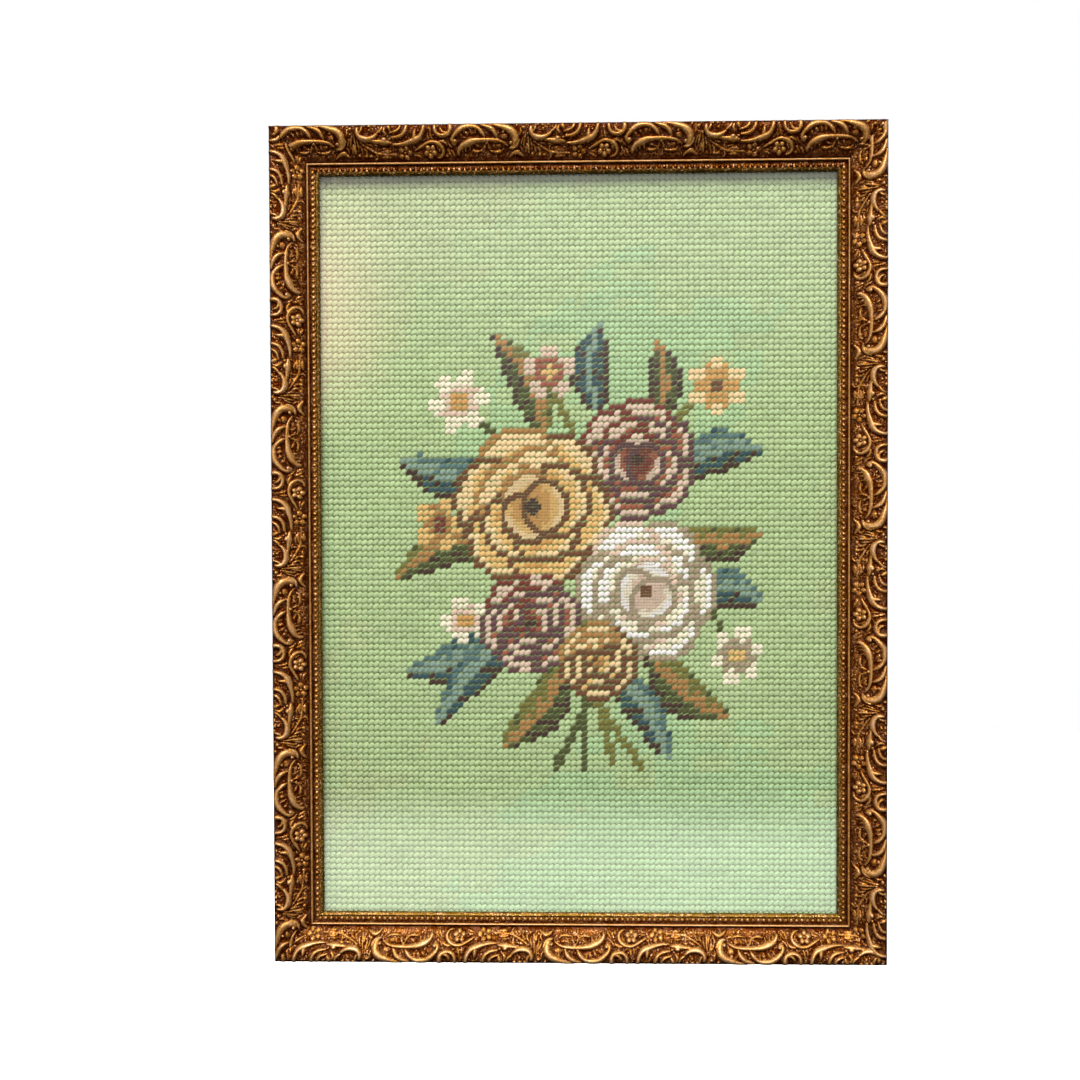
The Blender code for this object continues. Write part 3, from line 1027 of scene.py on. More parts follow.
def blurred(field: np.ndarray, reach: int) -> np.ndarray:
    """Blur a field that repeats from side to side.

    Args:
        field: The values.
        reach: Half width of the blur, in samples.

    Returns:
        The blurred values.
    """
    result = field
    for _ in range(2):
        result = sum(np.roll(result, shift, axis=1) for shift in range(-reach, reach + 1))
        result = result / (2 * reach + 1)
        padded = np.pad(result, ((reach, reach), (0, 0)), mode="edge")
        result = sum(padded[shift:shift + len(field)] for shift in range(2 * reach + 1))
        result = result / (2 * reach + 1)
    return result


class SectionPoint(NamedTuple):
    """A point of the moulding's section, in millimetres, with its gilding."""

    across: float
    height: float
    crest: float


@dataclass
class Section:
    """The moulding's section, from the outer edge to the picture and round the back."""

    carved_width: float = 15.5
    width: float = 21.4
    rebate_edge: float = 14.5
    rebate_height: float = 10.6
    lip_points: int = 8
    carved_base: tuple[tuple[float, float], ...] = (
        (0.0, 16.5), (0.2, 17.6), (0.6, 18.6), (1.3, 19.2), (2.5, 19.45), (3.8, 19.3), (5.2, 18.85),
        (6.6, 18.2), (8.0, 17.45), (9.4, 16.6), (10.8, 15.7), (12.2, 14.8), (13.7, 13.9), (15.5, 13.0),
    )

    def base(self, across: np.ndarray) -> np.ndarray:
        """Height of the carved face without its carving, in millimetres."""
        curve = smooth_route(np.array(self.carved_base), 0.1)
        return np.interp(across, curve[:, 0], curve[:, 1])

    def plain(self) -> list[SectionPoint]:
        """List the plain members.

        Returns:
            Points from the fillet over the groove, bead seat and lip to the rebate and the back.
        """
        points = [SectionPoint(15.6, 12.7, 0.12), SectionPoint(15.8, 12.7, 0.12)]
        for degrees in range(170, 9, -20):
            angle = math.radians(degrees)
            points.append(SectionPoint(16.4 + 0.52 * math.cos(angle), 13.35 + 1.0 * math.sin(angle),
                                       0.40 + 0.58 * math.sin(angle)))
        points += [
            SectionPoint(17.0, 12.6, 0.2),
            SectionPoint(17.15, 12.3, 0.14),
            SectionPoint(17.6, 12.3, 0.14),
            SectionPoint(17.85, 12.45, 0.40),
            SectionPoint(19.65, 12.45, 0.70),
            SectionPoint(19.75, 12.75, 0.52),
            SectionPoint(19.95, 12.98, 0.50),
            SectionPoint(20.25, 12.9, 0.53),
            SectionPoint(20.65, 12.62, 0.50),
            SectionPoint(21.1, 12.2, 0.44),
            SectionPoint(self.width, 11.75, 0.34),
            SectionPoint(self.width, self.rebate_height, 0.26),
        ]
        return points

    def back(self) -> list[SectionPoint]:
        """List the rebate and the back, which stay bare wood.

        Returns:
            Points from the rebate round the back to the outer edge.
        """
        return [
            SectionPoint(self.rebate_edge, self.rebate_height, 0.15),
            SectionPoint(self.rebate_edge, 0.0, 0.15),
            SectionPoint(0.0, 0.0, 0.15),
        ]


class Side(Enum):
    """The sides of the frame, in the order in which the stock runs round it."""

    BOTTOM = 0
    RIGHT = 1
    TOP = 2
    LEFT = 3


class StockFinish(IntEnum):
    """The finishes on a length of moulding, in the order of its materials."""

    GILT = 0
    WOOD = 1
    LIP = 2
    EDGE = 3


PATTERN_STARTS = {Side.BOTTOM: 8.2, Side.RIGHT: 3.9, Side.TOP: -27.1, Side.LEFT: 11.0}
DIRECTIONS = {
    Side.BOTTOM: (Vector((1, 0, 0)), Vector((0, 0, 1))),
    Side.RIGHT: (Vector((0, 0, 1)), Vector((-1, 0, 0))),
    Side.TOP: (Vector((-1, 0, 0)), Vector((0, 0, -1))),
    Side.LEFT: (Vector((0, 0, -1)), Vector((1, 0, 0))),
}


class PaintedSideLight(NamedTuple):
    """How bright one side's gilding is painted on each member, 1 for evenly, and how much paler
    its ground: painted light and shade for how the lamps fall on that side.
    """

    ground: float
    carving: float
    foot: float
    fillet: float
    lip: float
    beads: float


# Painted light and shade: each side's gilding is made lighter or darker for how the lamps fall on it.
PAINTED_SIDE_LIGHT = {
    Side.BOTTOM: PaintedSideLight(0.18, 0.79, 0.60, 1.20, 1.0, 1.1),
    Side.RIGHT: PaintedSideLight(0.07, 0.88, 0.96, 0.95, 0.90, 0.80),
    Side.TOP: PaintedSideLight(0.01, 0.82, 0.72, 1.10, 0.66, 0.36),
    Side.LEFT: PaintedSideLight(0.0, 0.97, 0.96, 1.0, 0.95, 1.02),
}


@dataclass
class FrameOutline:
    """The frame's outer rectangle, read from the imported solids."""

    left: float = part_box("rail_left")[0].x
    right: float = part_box("rail_right")[1].x
    bottom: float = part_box("rail_bottom")[0].z
    top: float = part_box("rail_top")[1].z

    @property
    def middle(self) -> Vector:
        """The middle of the picture, in the plane of the wall."""
        return Vector(((self.left + self.right) / 2, 0.0, (self.bottom + self.top) / 2))

    def corner(self, side: Side) -> Vector:
        """Find the corner where a side's stock starts.

        Args:
            side: The side.

        Returns:
            The corner, in the plane of the wall.
        """
        across = self.left if side in (Side.BOTTOM, Side.LEFT) else self.right
        up = self.bottom if side in (Side.BOTTOM, Side.RIGHT) else self.top
        return Vector((across, 0.0, up))

    def length(self, side: Side) -> float:
        """A side's outer length."""
        return self.right - self.left if side in (Side.BOTTOM, Side.TOP) else self.top - self.bottom

    def place(self, side: Side, along: np.ndarray, across: np.ndarray, height: np.ndarray) -> np.ndarray:
        """Turn distances on a side's stock into places in the scene.

        Args:
            side: The side.
            along: Metres from its first corner.
            across: Metres in from the outer edge.
            height: Metres out from the wall.

        Returns:
            The places, one row each.
        """
        run, inward = DIRECTIONS[side]
        forward = np.array((0.0, -1.0, 0.0))
        flat = [part.ravel()[:, None] for part in np.broadcast_arrays(along, across, height)]
        return np.array(self.corner(side)) + flat[0] * run + flat[1] * inward + flat[2] * forward


@dataclass
class GiltMoulding:
    """Four mitred lengths of carved and gilded stock, each with its row of beads."""

    outline: FrameOutline
    pattern: CarvedPattern = field(default_factory=CarvedPattern)
    section: Section = field(default_factory=Section)
    cell: float = 0.3
    joint: float = 0.03
    edge_fade: float = 0.5
    dark_edge: float = 1.5
    # Where the foot of the carving is painted darker as shade, in millimetres across.
    foot_shade: tuple[float, float] = (13.6, 15.3)
    bead_pitch: float = 2.4
    bead_line: float = 18.75
    bead_radius: float = 0.92
    bead_seat: float = 12.45
    bead_lift: float = 0.30
    bead_squash: float = 0.85
    bead_skirt: float = -0.35
    bead_segments: int = 10
    bead_rings: int = 4
    bead_size_spread: float = 0.16
    bead_wear_spread: float = 0.44
    plain_rise: float = 0.35
    fillet_edge: float = 17.0
    girth_start: float = 20.0
    crease_degrees: float = 66.0

    def build(self) -> None:
        """Build every side and its beads."""
        gilding = AntiqueGilding().material()
        lip = LIP_GILDING.material()
        edge = EDGE_GILDING.material()
        wood = BareWood().material()
        for side in Side:
            name = side.name.lower()
            dress(self.stock(side, [gilding, wood, lip, edge]), "gilded_moulding", f"rail_{name}")
            dress(self.beads(side, gilding), "gilded_moulding")

    def mitred(self, share: np.ndarray, across: np.ndarray, length: float) -> np.ndarray:
        """Place along a side, square in its middle and slanting to 45 degrees at its ends.

        Args:
            share: Place from the first end, 0, to the last, 1.
            across: Millimetres in from the outer edge.
            length: The side's outer length in millimetres.

        Returns:
            Millimetres from the side's first corner.
        """
        inset = across + self.joint
        return inset + share * (length - 2.0 * inset)

    def carved_face(self, side: Side, length: float) -> tuple[np.ndarray, ...]:
        """Work out one side's carved face, on a grid from its outer edge to the fillet.

        Args:
            side: The side.
            length: Its outer length in millimetres.

        Returns:
            Places along and across and the carving's rise, all in millimetres, and its crest values,
            which carry painted light and shade.
        """
        width = self.section.carved_width
        share = np.linspace(0.0, 1.0, round(length / self.cell) + 1)
        across = np.linspace(0.0, width, round(width / self.cell) + 1)[:, None]
        along = self.mitred(share[None, :], across, length)
        across = np.broadcast_to(across, along.shape)
        pattern_place = along - PATTERN_STARTS[side]
        edge = np.clip(np.minimum(across, width - across) / self.edge_fade, 0.0, 1.0)
        rise = self.pattern.read(self.pattern.field, pattern_place, across) * edge
        # Painted shade: the crest values are darkened at the foot of the carving next to the fillet, by each
        # side's foot share, and scaled per side for how the lamps fall. They are also darker near the outer
        # edge.
        foot = (across - self.foot_shade[0]) / (self.foot_shade[1] - self.foot_shade[0])
        painted_shading = 1.0 - (1.0 - PAINTED_SIDE_LIGHT[side].foot) * np.clip(foot, 0.0, 1.0)
        painted_shading = painted_shading * np.clip(across / self.dark_edge, 0.5, 1.0) * PAINTED_SIDE_LIGHT[side].carving
        crest = (self.pattern.read(self.pattern.crest, pattern_place, across) + PAINTED_SIDE_LIGHT[side].ground) * painted_shading
        return along, across, rise, crest

    def stock(self, side: Side, materials: list[bpy.types.Material]) -> bpy.types.Object:
        """Build one length of moulding.

        Args:
            side: The side that it makes.
            materials: One for each of the stock's finishes.

        Returns:
            The piece.
        """
        length = self.outline.length(side) / MM
        along, across, rise, crest = self.carved_face(side, length)
        height = self.section.base(across) + rise

        shape = Shape(f"moulding_{side.name.lower()}")
        shape.add_points(self.outline.place(side, along * MM, across * MM, height * MM))
        grid = np.arange(along.size).reshape(along.shape)
        shape.add_faces(grid_faces(grid))
        values = {
            "rise": [(rise / self.pattern.tallest).ravel()],
            "crest": [crest.ravel()],
        }
        flat = [np.stack((along.ravel(), across.ravel()), axis=-1)]

        members = self.section.plain() + self.section.back()
        lip_from = len(self.section.plain()) - self.section.lip_points
        bare_from = len(self.section.plain()) - 1
        spans = np.array([
            [self.mitred(np.array(end), np.array(point.across), length) for end in (0.0, 1.0)]
            for point in members
        ])
        start = shape.add_points(self.outline.place(
            side, spans * MM,
            np.array([[point.across] for point in members]) * MM,
            np.array([[point.height] for point in members]) * MM))
        rows = start + np.arange(2 * len(members)).reshape(-1, 2)
        quads = np.stack((rows[:-1, 0], rows[:-1, 1], rows[1:, 1], rows[1:, 0]), axis=-1)
        shape.add_faces(quads[:lip_from])
        shape.add_faces(quads[lip_from:bare_from], finish=StockFinish.LIP)
        shape.add_faces(quads[bare_from:], finish=StockFinish.WOOD)
        shape.add_faces(fan_faces(grid[-1], rows[0], reverse=True))
        shape.add_faces(fan_faces(grid[0], rows[-1]), finish=StockFinish.EDGE)
        for end, turn in ((0, 1), (-1, -1)):
            ring = np.concatenate((grid[:, end], rows[:, end]))[::-turn]
            shape.add_faces(ring[None, :], finish=StockFinish.WOOD)
        values["rise"].append(np.full(2 * len(members), self.plain_rise))
        # Painted light and shade: the plain members' crest values are scaled per side for how the lamps fall
        # on it.
        values["crest"].append(np.repeat([
            point.crest * (PAINTED_SIDE_LIGHT[side].fillet if point.across < self.fillet_edge else PAINTED_SIDE_LIGHT[side].lip)
            for point in members
        ], 2))
        steps = np.diff([(point.across, point.height) for point in members], axis=0)
        girth = self.girth_start + np.concatenate(([0.0], np.cumsum(np.linalg.norm(steps, axis=1))))
        flat.append(np.stack((spans.ravel(), np.repeat(girth, 2)), axis=-1))

        piece = shape.build(materials)
        for name, parts in values.items():
            store_value(piece.data, name, np.concatenate(parts))
        store_uv(piece.data, "stock", np.concatenate(flat) * MM)
        piece.data.set_sharp_from_angle(angle=math.radians(self.crease_degrees))
        return piece

    def beads(self, side: Side, gilding: bpy.types.Material) -> bpy.types.Object:
        """Build one side's beads as low domes on their seat.

        Args:
            side: The side that they lie on.
            gilding: Their material.

        Returns:
            The piece.
        """
        length = self.outline.length(side) / MM - 2 * self.bead_line
        count = round(length / self.bead_pitch)
        places = self.bead_line + (np.arange(count) + 0.5) * length / count
        segments, rings = self.bead_segments, self.bead_rings
        turn = np.linspace(0.0, 2 * math.pi, segments, endpoint=False)
        lift = np.linspace(self.bead_skirt, math.pi / 2, rings + 1)[:-1]
        along = (np.cos(lift)[:, None] * np.cos(turn)).ravel()
        across = (np.cos(lift)[:, None] * np.sin(turn)).ravel()
        height = np.repeat(np.sin(lift), segments)
        template = np.vstack((np.stack((along, across, height), axis=-1), [[0.0, 0.0, 1.0]]))
        ring = np.arange(rings * segments).reshape(rings, segments)
        following = np.roll(ring, -1, axis=1)
        quads = np.stack((ring[:-1], following[:-1], following[1:], ring[1:]), axis=-1).reshape(-1, 4)
        tip = np.full(segments, rings * segments)
        caps = np.stack((ring[-1], following[-1], tip), axis=-1)

        wobble = 1.0 + self.bead_size_spread * (speckle(places, places * 0.0, 5.0 + side.value) - 0.5)
        wear = 0.88 + self.bead_wear_spread * (speckle(places, places * 0.0, 15.0 + side.value) - 0.5)
        size = self.bead_radius * wobble[:, None]
        shape = Shape(f"beads_{side.name.lower()}")
        shape.add_points(self.outline.place(
            side,
            (places[:, None] + template[:, 0] * size) * MM,
            (self.bead_line + template[:, 1] * size) * MM,
            (self.bead_seat + self.bead_lift + self.bead_squash * template[:, 2] * size) * MM))
        offsets = (np.arange(count) * len(template))[:, None, None]
        shape.add_faces((quads + offsets).reshape(-1, 4))
        shape.add_faces((caps + offsets).reshape(-1, 3))
        shape.add_faces(ring[0, ::-1] + offsets[:, 0])
        piece = shape.build([gilding])
        store_value(piece.data, "rise", np.full(count * len(template), self.plain_rise))
        # Painted light: each side's beads are made lighter or darker for how the lamps fall, and each bead
        # is lighter towards its top.
        lit = (0.10 + wear[:, None] * np.clip(template[:, 2], 0.0, 1.0) ** 1.6) * PAINTED_SIDE_LIGHT[side].beads
        store_value(piece.data, "crest", np.clip(lit, 0.0, 1.2).ravel())
        return piece


class Thread(Enum):
    """The wools, as display colours."""

    GROUND = (181, 198, 148)
    GROUND_WARM = (184, 195, 147)
    GROUND_COOL = (174, 200, 152)
    OCHRE = (204, 150, 82)
    GOLD = (226, 180, 112)
    PEACH = (238, 204, 156)
    TAN = (172, 122, 66)
    BROWN = (108, 62, 30)
    DARK = (62, 34, 22)
    MAROON = (116, 46, 34)
    PLUM = (96, 56, 62)
    ROSEWOOD = (156, 84, 62)
    CREAM = (240, 226, 204)
    WHITE = (246, 236, 236)
    SHELL = (222, 190, 172)
    TAUPE = (168, 146, 122)
    TEAL = (44, 74, 82)
    SLATE = (84, 112, 112)
    MIST = (130, 152, 140)
    OLIVE = (118, 110, 44)
    MOSS = (72, 74, 28)


THREADS = list(Thread)
Shades = tuple[Thread, ...]

GOLD_ROSE: Shades = (Thread.DARK, Thread.BROWN, Thread.TAN, Thread.OCHRE, Thread.GOLD, Thread.PEACH)
CREAM_ROSE: Shades = (Thread.BROWN, Thread.TAUPE, Thread.SHELL, Thread.SHELL, Thread.CREAM, Thread.WHITE)
WINE_ROSE: Shades = (Thread.DARK, Thread.PLUM, Thread.MAROON, Thread.MAROON, Thread.ROSEWOOD, Thread.SHELL)
TEAL_LEAF: Shades = (Thread.DARK, Thread.TEAL, Thread.SLATE, Thread.MIST)
OLIVE_LEAF: Shades = (Thread.DARK, Thread.MOSS, Thread.OLIVE, Thread.TAN)


class Rose(NamedTuple):
    """A full rose, in stitches from the middle of the picture."""

    x: float
    y: float
    radius: float
    turn: float
    shades: Shades


class Leaf(NamedTuple):
    """A pointed leaf from its foot to its tip, in stitches, bent to one side."""

    x: float
    y: float
    tip_x: float
    tip_y: float
    width: float
    bend: float
    shades: Shades


class Stalk(NamedTuple):
    """A stalk through a few points, in stitches."""

    width: float
    shade: Thread
    route: tuple[tuple[float, float], ...]


class Daisy(NamedTuple):
    """A small open flower, in stitches."""

    x: float
    y: float
    radius: float
    petals: int
    turn: float
    light: Thread
    shadow: Thread
    heart: Thread


class PetalRing(NamedTuple):
    """A ring of a rose's petals: its reach and petal size as shares of the radius, and its count."""

    reach: float
    size: float
    petals: int


ROSE_RINGS = (PetalRing(0.60, 0.42, 6), PetalRing(0.36, 0.36, 5), PetalRing(0.17, 0.26, 3))
STALKS = (
    Stalk(1.3, Thread.OLIVE, ((6.0, -37.0), (3.0, -26.0), (-3.0, -12.0), (-6.0, 4.0))),
    Stalk(1.2, Thread.MOSS, ((-4.0, -38.0), (2.0, -27.0), (9.0, -16.0), (13.0, -8.0))),
    Stalk(1.1, Thread.OLIVE, ((11.0, -38.0), (3.0, -25.0), (2.0, -4.0), (9.0, 16.0))),
    Stalk(1.0, Thread.MOSS, ((1.0, -38.0), (0.0, -24.0), (-12.0, -8.0), (-24.0, 2.0))),
    Stalk(1.0, Thread.OLIVE, ((2.0, -4.0), (0.0, 16.0), (-6.0, 30.0))),
    Stalk(1.0, Thread.OLIVE, ((9.0, 14.0), (18.0, 22.0), (24.0, 30.0))),
    Stalk(1.0, Thread.MOSS, ((-8.0, 8.0), (-16.0, 20.0), (-22.0, 27.0))),
    Stalk(1.0, Thread.MOSS, ((12.0, -8.0), (22.0, -10.0), (28.0, -20.0))),
)
LEAVES = (
    Leaf(-10.0, -14.0, -31.0, -22.0, 8.0, 2.0, TEAL_LEAF),
    Leaf(-12.0, 2.0, -33.0, -6.0, 7.0, -2.0, OLIVE_LEAF),
    Leaf(-14.0, 12.0, -32.0, 15.0, 7.5, 2.0, TEAL_LEAF),
    Leaf(-6.0, 18.0, -15.0, 36.0, 7.0, -2.0, OLIVE_LEAF),
    Leaf(4.0, 22.0, 4.0, 38.0, 7.0, 2.0, TEAL_LEAF),
    Leaf(14.0, 20.0, 14.0, 35.0, 6.0, -1.5, OLIVE_LEAF),
    Leaf(17.0, 12.0, 33.0, 16.0, 7.5, 2.0, TEAL_LEAF),
    Leaf(18.0, 2.0, 33.0, 2.0, 6.5, -2.0, OLIVE_LEAF),
    Leaf(20.0, -8.0, 33.0, -10.0, 7.0, 1.5, TEAL_LEAF),
    Leaf(12.0, -18.0, 27.0, -30.0, 8.0, -2.0, OLIVE_LEAF),
    Leaf(4.0, -20.0, 16.0, -37.0, 6.5, 1.5, TEAL_LEAF),
    Leaf(-2.0, -20.0, -14.0, -35.0, 7.5, 2.0, OLIVE_LEAF),
    Leaf(-6.0, -12.0, -26.0, -32.0, 6.5, -2.0, TEAL_LEAF),
)
ROSES = (
    Rose(10.5, 14.5, 9.5, 20.0, WINE_ROSE),
    Rose(-8.0, 6.5, 13.0, 50.0, GOLD_ROSE),
    Rose(12.0, -8.0, 11.5, 0.0, CREAM_ROSE),
    Rose(-8.5, -13.5, 8.0, 75.0, WINE_ROSE),
    Rose(3.5, -20.0, 6.0, 30.0, GOLD_ROSE),
)
DAISIES = (
    Daisy(-21.0, 24.5, 5.6, 6, 10.0, Thread.CREAM, Thread.SHELL, Thread.OCHRE),
    Daisy(24.5, 27.0, 5.6, 6, 30.0, Thread.PEACH, Thread.OCHRE, Thread.BROWN),
    Daisy(-24.5, 3.5, 5.0, 5, 0.0, Thread.GOLD, Thread.TAN, Thread.MAROON),
    Daisy(28.0, -19.0, 5.2, 6, 15.0, Thread.CREAM, Thread.TAUPE, Thread.GOLD),
    Daisy(-5.0, 29.5, 5.0, 5, 20.0, Thread.SHELL, Thread.ROSEWOOD, Thread.GOLD),
    Daisy(-20.0, -13.0, 4.4, 5, 40.0, Thread.CREAM, Thread.SHELL, Thread.OCHRE),
)


@dataclass
class FloralChart:
    """A spray of roses, daisies and leaves, painted as wools on any set of places.

    Places are in stitches from the middle of the picture, y upwards.
    """

    fine_share: float = 0.42

    def threads(self, x: np.ndarray, y: np.ndarray) -> np.ndarray:
        """Choose the wool at each place.

        Args:
            x: Places across.
            y: Places up.

        Returns:
            Indices into the list of wools.
        """
        drift = np.sin(x * 0.045 + 1.0) + np.sin(y * 0.05 - x * 0.02) - 0.022 * y
        drift = drift + 0.9 * (speckle(np.floor(x / 7.0), np.floor(y / 3.0), 3.0) - 0.5)
        chosen = np.full(x.shape, THREADS.index(Thread.GROUND))
        chosen[drift > 0.9] = THREADS.index(Thread.GROUND_COOL)
        chosen[drift < -0.7] = THREADS.index(Thread.GROUND_WARM)
        for stalk in STALKS:
            self.paint_stalk(chosen, x, y, stalk)
        for leaf in LEAVES:
            self.paint_leaf(chosen, x, y, leaf)
        for daisy in DAISIES:
            self.paint_daisy(chosen, x, y, daisy)
        for rose in ROSES:
            self.paint_rose(chosen, x, y, rose)
        return chosen

    def is_fine(self, x: np.ndarray, y: np.ndarray) -> np.ndarray:
        """Tell which places are worked in half size stitches: the hearts of the three largest roses.

        Args:
            x: Places across.
            y: Places up.

        Returns:
            True on those places.
        """
        return np.any([
            np.hypot(x - rose.x, y - rose.y) < rose.radius * self.fine_share for rose in ROSES[:3]
        ], axis=0)

    @staticmethod
    def paint(chosen: np.ndarray, where: np.ndarray, level: np.ndarray, shades: Shades) -> None:
        """Lay a run of shades over part of the chart.

        Args:
            chosen: The chart, changed in place.
            where: True on the places to change.
            level: Place in the run, from 0, the darkest, to 1.
            shades: The run.
        """
        run = np.array([THREADS.index(shade) for shade in shades])
        step = np.clip((level * len(run)).astype(int), 0, len(run) - 1)
        chosen[where] = run[step[where]]

    def paint_stalk(self, chosen: np.ndarray, x: np.ndarray, y: np.ndarray, stalk: Stalk) -> None:
        """Paint a stalk along its smooth route.

        Args:
            chosen: The chart, changed in place.
            x: Places across.
            y: Places up.
            stalk: The stalk.
        """
        route = smooth_route(np.array(stalk.route), 0.5)
        for along, up in route:
            near = np.hypot(x - along, y - up) < stalk.width * 0.62
            chosen[near] = THREADS.index(stalk.shade)

    def paint_leaf(self, chosen: np.ndarray, x: np.ndarray, y: np.ndarray, leaf: Leaf) -> None:
        """Paint a leaf: a light and a dark half about a pale vein, dark at the rim.

        Args:
            chosen: The chart, changed in place.
            x: Places across.
            y: Places up.
            leaf: The leaf.
        """
        run = np.array((leaf.tip_x - leaf.x, leaf.tip_y - leaf.y))
        length = np.linalg.norm(run)
        run = run / length
        along = ((x - leaf.x) * run[0] + (y - leaf.y) * run[1]) / length
        aside = (y - leaf.y) * run[0] - (x - leaf.x) * run[1]
        aside = aside - leaf.bend * np.sin(np.clip(along, 0, 1) * math.pi)
        half = leaf.width / 2 * np.sin(np.clip(along, 0, 1) * math.pi) ** 0.75 * (1.15 - 0.3 * along)
        inside = (along > 0) & (along < 1) & (np.abs(aside) < half)
        share = np.abs(aside) / np.maximum(half, 0.01)
        upper = aside * run[0] > 0
        level = np.where(upper, 0.82, 0.40) - 0.25 * share ** 2
        ribs = np.abs(((along * length + np.abs(aside) * 0.9) / 3.4) % 1.0 - 0.5) < 0.14
        level = np.where(ribs, level - 0.2, level)
        level = np.where(np.abs(aside) < 0.55, 0.95, level)
        level = np.where((share > 0.86) & ~upper, 0.05, level)
        self.paint(chosen, inside, level, leaf.shades)

    def paint_petal(self, chosen: np.ndarray, x: np.ndarray, y: np.ndarray, rose: Rose,
                    turn: float, distance: float, size: float) -> None:
        """Paint one petal of a rose.

        Args:
            chosen: The chart, changed in place.
            x: Places across.
            y: Places up.
            rose: The rose that it belongs to.
            turn: Its direction from the heart, in radians.
            distance: Distance of its middle from the heart, in stitches.
            size: Its radius, in stitches.
        """
        outward = np.array((math.cos(turn), math.sin(turn)))
        step_x = x - rose.x - outward[0] * distance
        step_y = y - rose.y - outward[1] * distance
        out = step_x * outward[0] + step_y * outward[1]
        side = step_y * outward[0] - step_x * outward[1]
        radius = np.hypot(out, side * 0.86)
        lit = 0.08 * (outward[1] - 0.4 * outward[0])
        shadow = np.full(x.shape, 0.28 + lit)
        self.paint(chosen, radius < size + 0.95, shadow, rose.shades)
        level = 0.62 + 0.30 * out / size + lit
        level = np.where(radius > size - 1.0, level + 0.14, level)
        self.paint(chosen, radius < size, np.maximum(level, 0.40), rose.shades)

    def paint_rose(self, chosen: np.ndarray, x: np.ndarray, y: np.ndarray, rose: Rose) -> None:
        """Paint a rose from its outer petals in to its heart.

        Args:
            chosen: The chart, changed in place.
            x: Places across.
            y: Places up.
            rose: The rose.
        """
        for ring, (reach, size, petals) in enumerate(ROSE_RINGS):
            for petal in range(petals):
                turn = math.radians(rose.turn + 360.0 * petal / petals + 35.0 * ring)
                self.paint_petal(chosen, x, y, rose, turn, reach * rose.radius, size * rose.radius)
        heart = np.hypot(x - rose.x, y - rose.y) < 0.11 * rose.radius
        chosen[heart] = THREADS.index(rose.shades[0])

    def paint_daisy(self, chosen: np.ndarray, x: np.ndarray, y: np.ndarray, daisy: Daisy) -> None:
        """Paint a daisy: petals lit at their tips, and a round heart.

        Args:
            chosen: The chart, changed in place.
            x: Places across.
            y: Places up.
            daisy: The daisy.
        """
        radius = np.hypot(x - daisy.x, y - daisy.y)
        angle = np.arctan2(y - daisy.y, x - daisy.x) - math.radians(daisy.turn)
        swell = np.abs(np.cos(angle * daisy.petals / 2))
        inside = radius < daisy.radius * (0.55 + 0.45 * swell)
        shadow = (radius < daisy.radius * 0.5) | (swell < 0.42)
        chosen[inside] = THREADS.index(daisy.light)
        chosen[inside & shadow] = THREADS.index(daisy.shadow)
        chosen[radius < daisy.radius * 0.26] = THREADS.index(daisy.heart)


CORNERS = ((-1, -1), (1, -1), (1, 1), (-1, 1))
STITCH_STATIONS = np.array((-0.80, -0.30, 0.30, 0.80))
STITCH_FACETS = np.radians((0.0, 60.0, 120.0, 180.0))


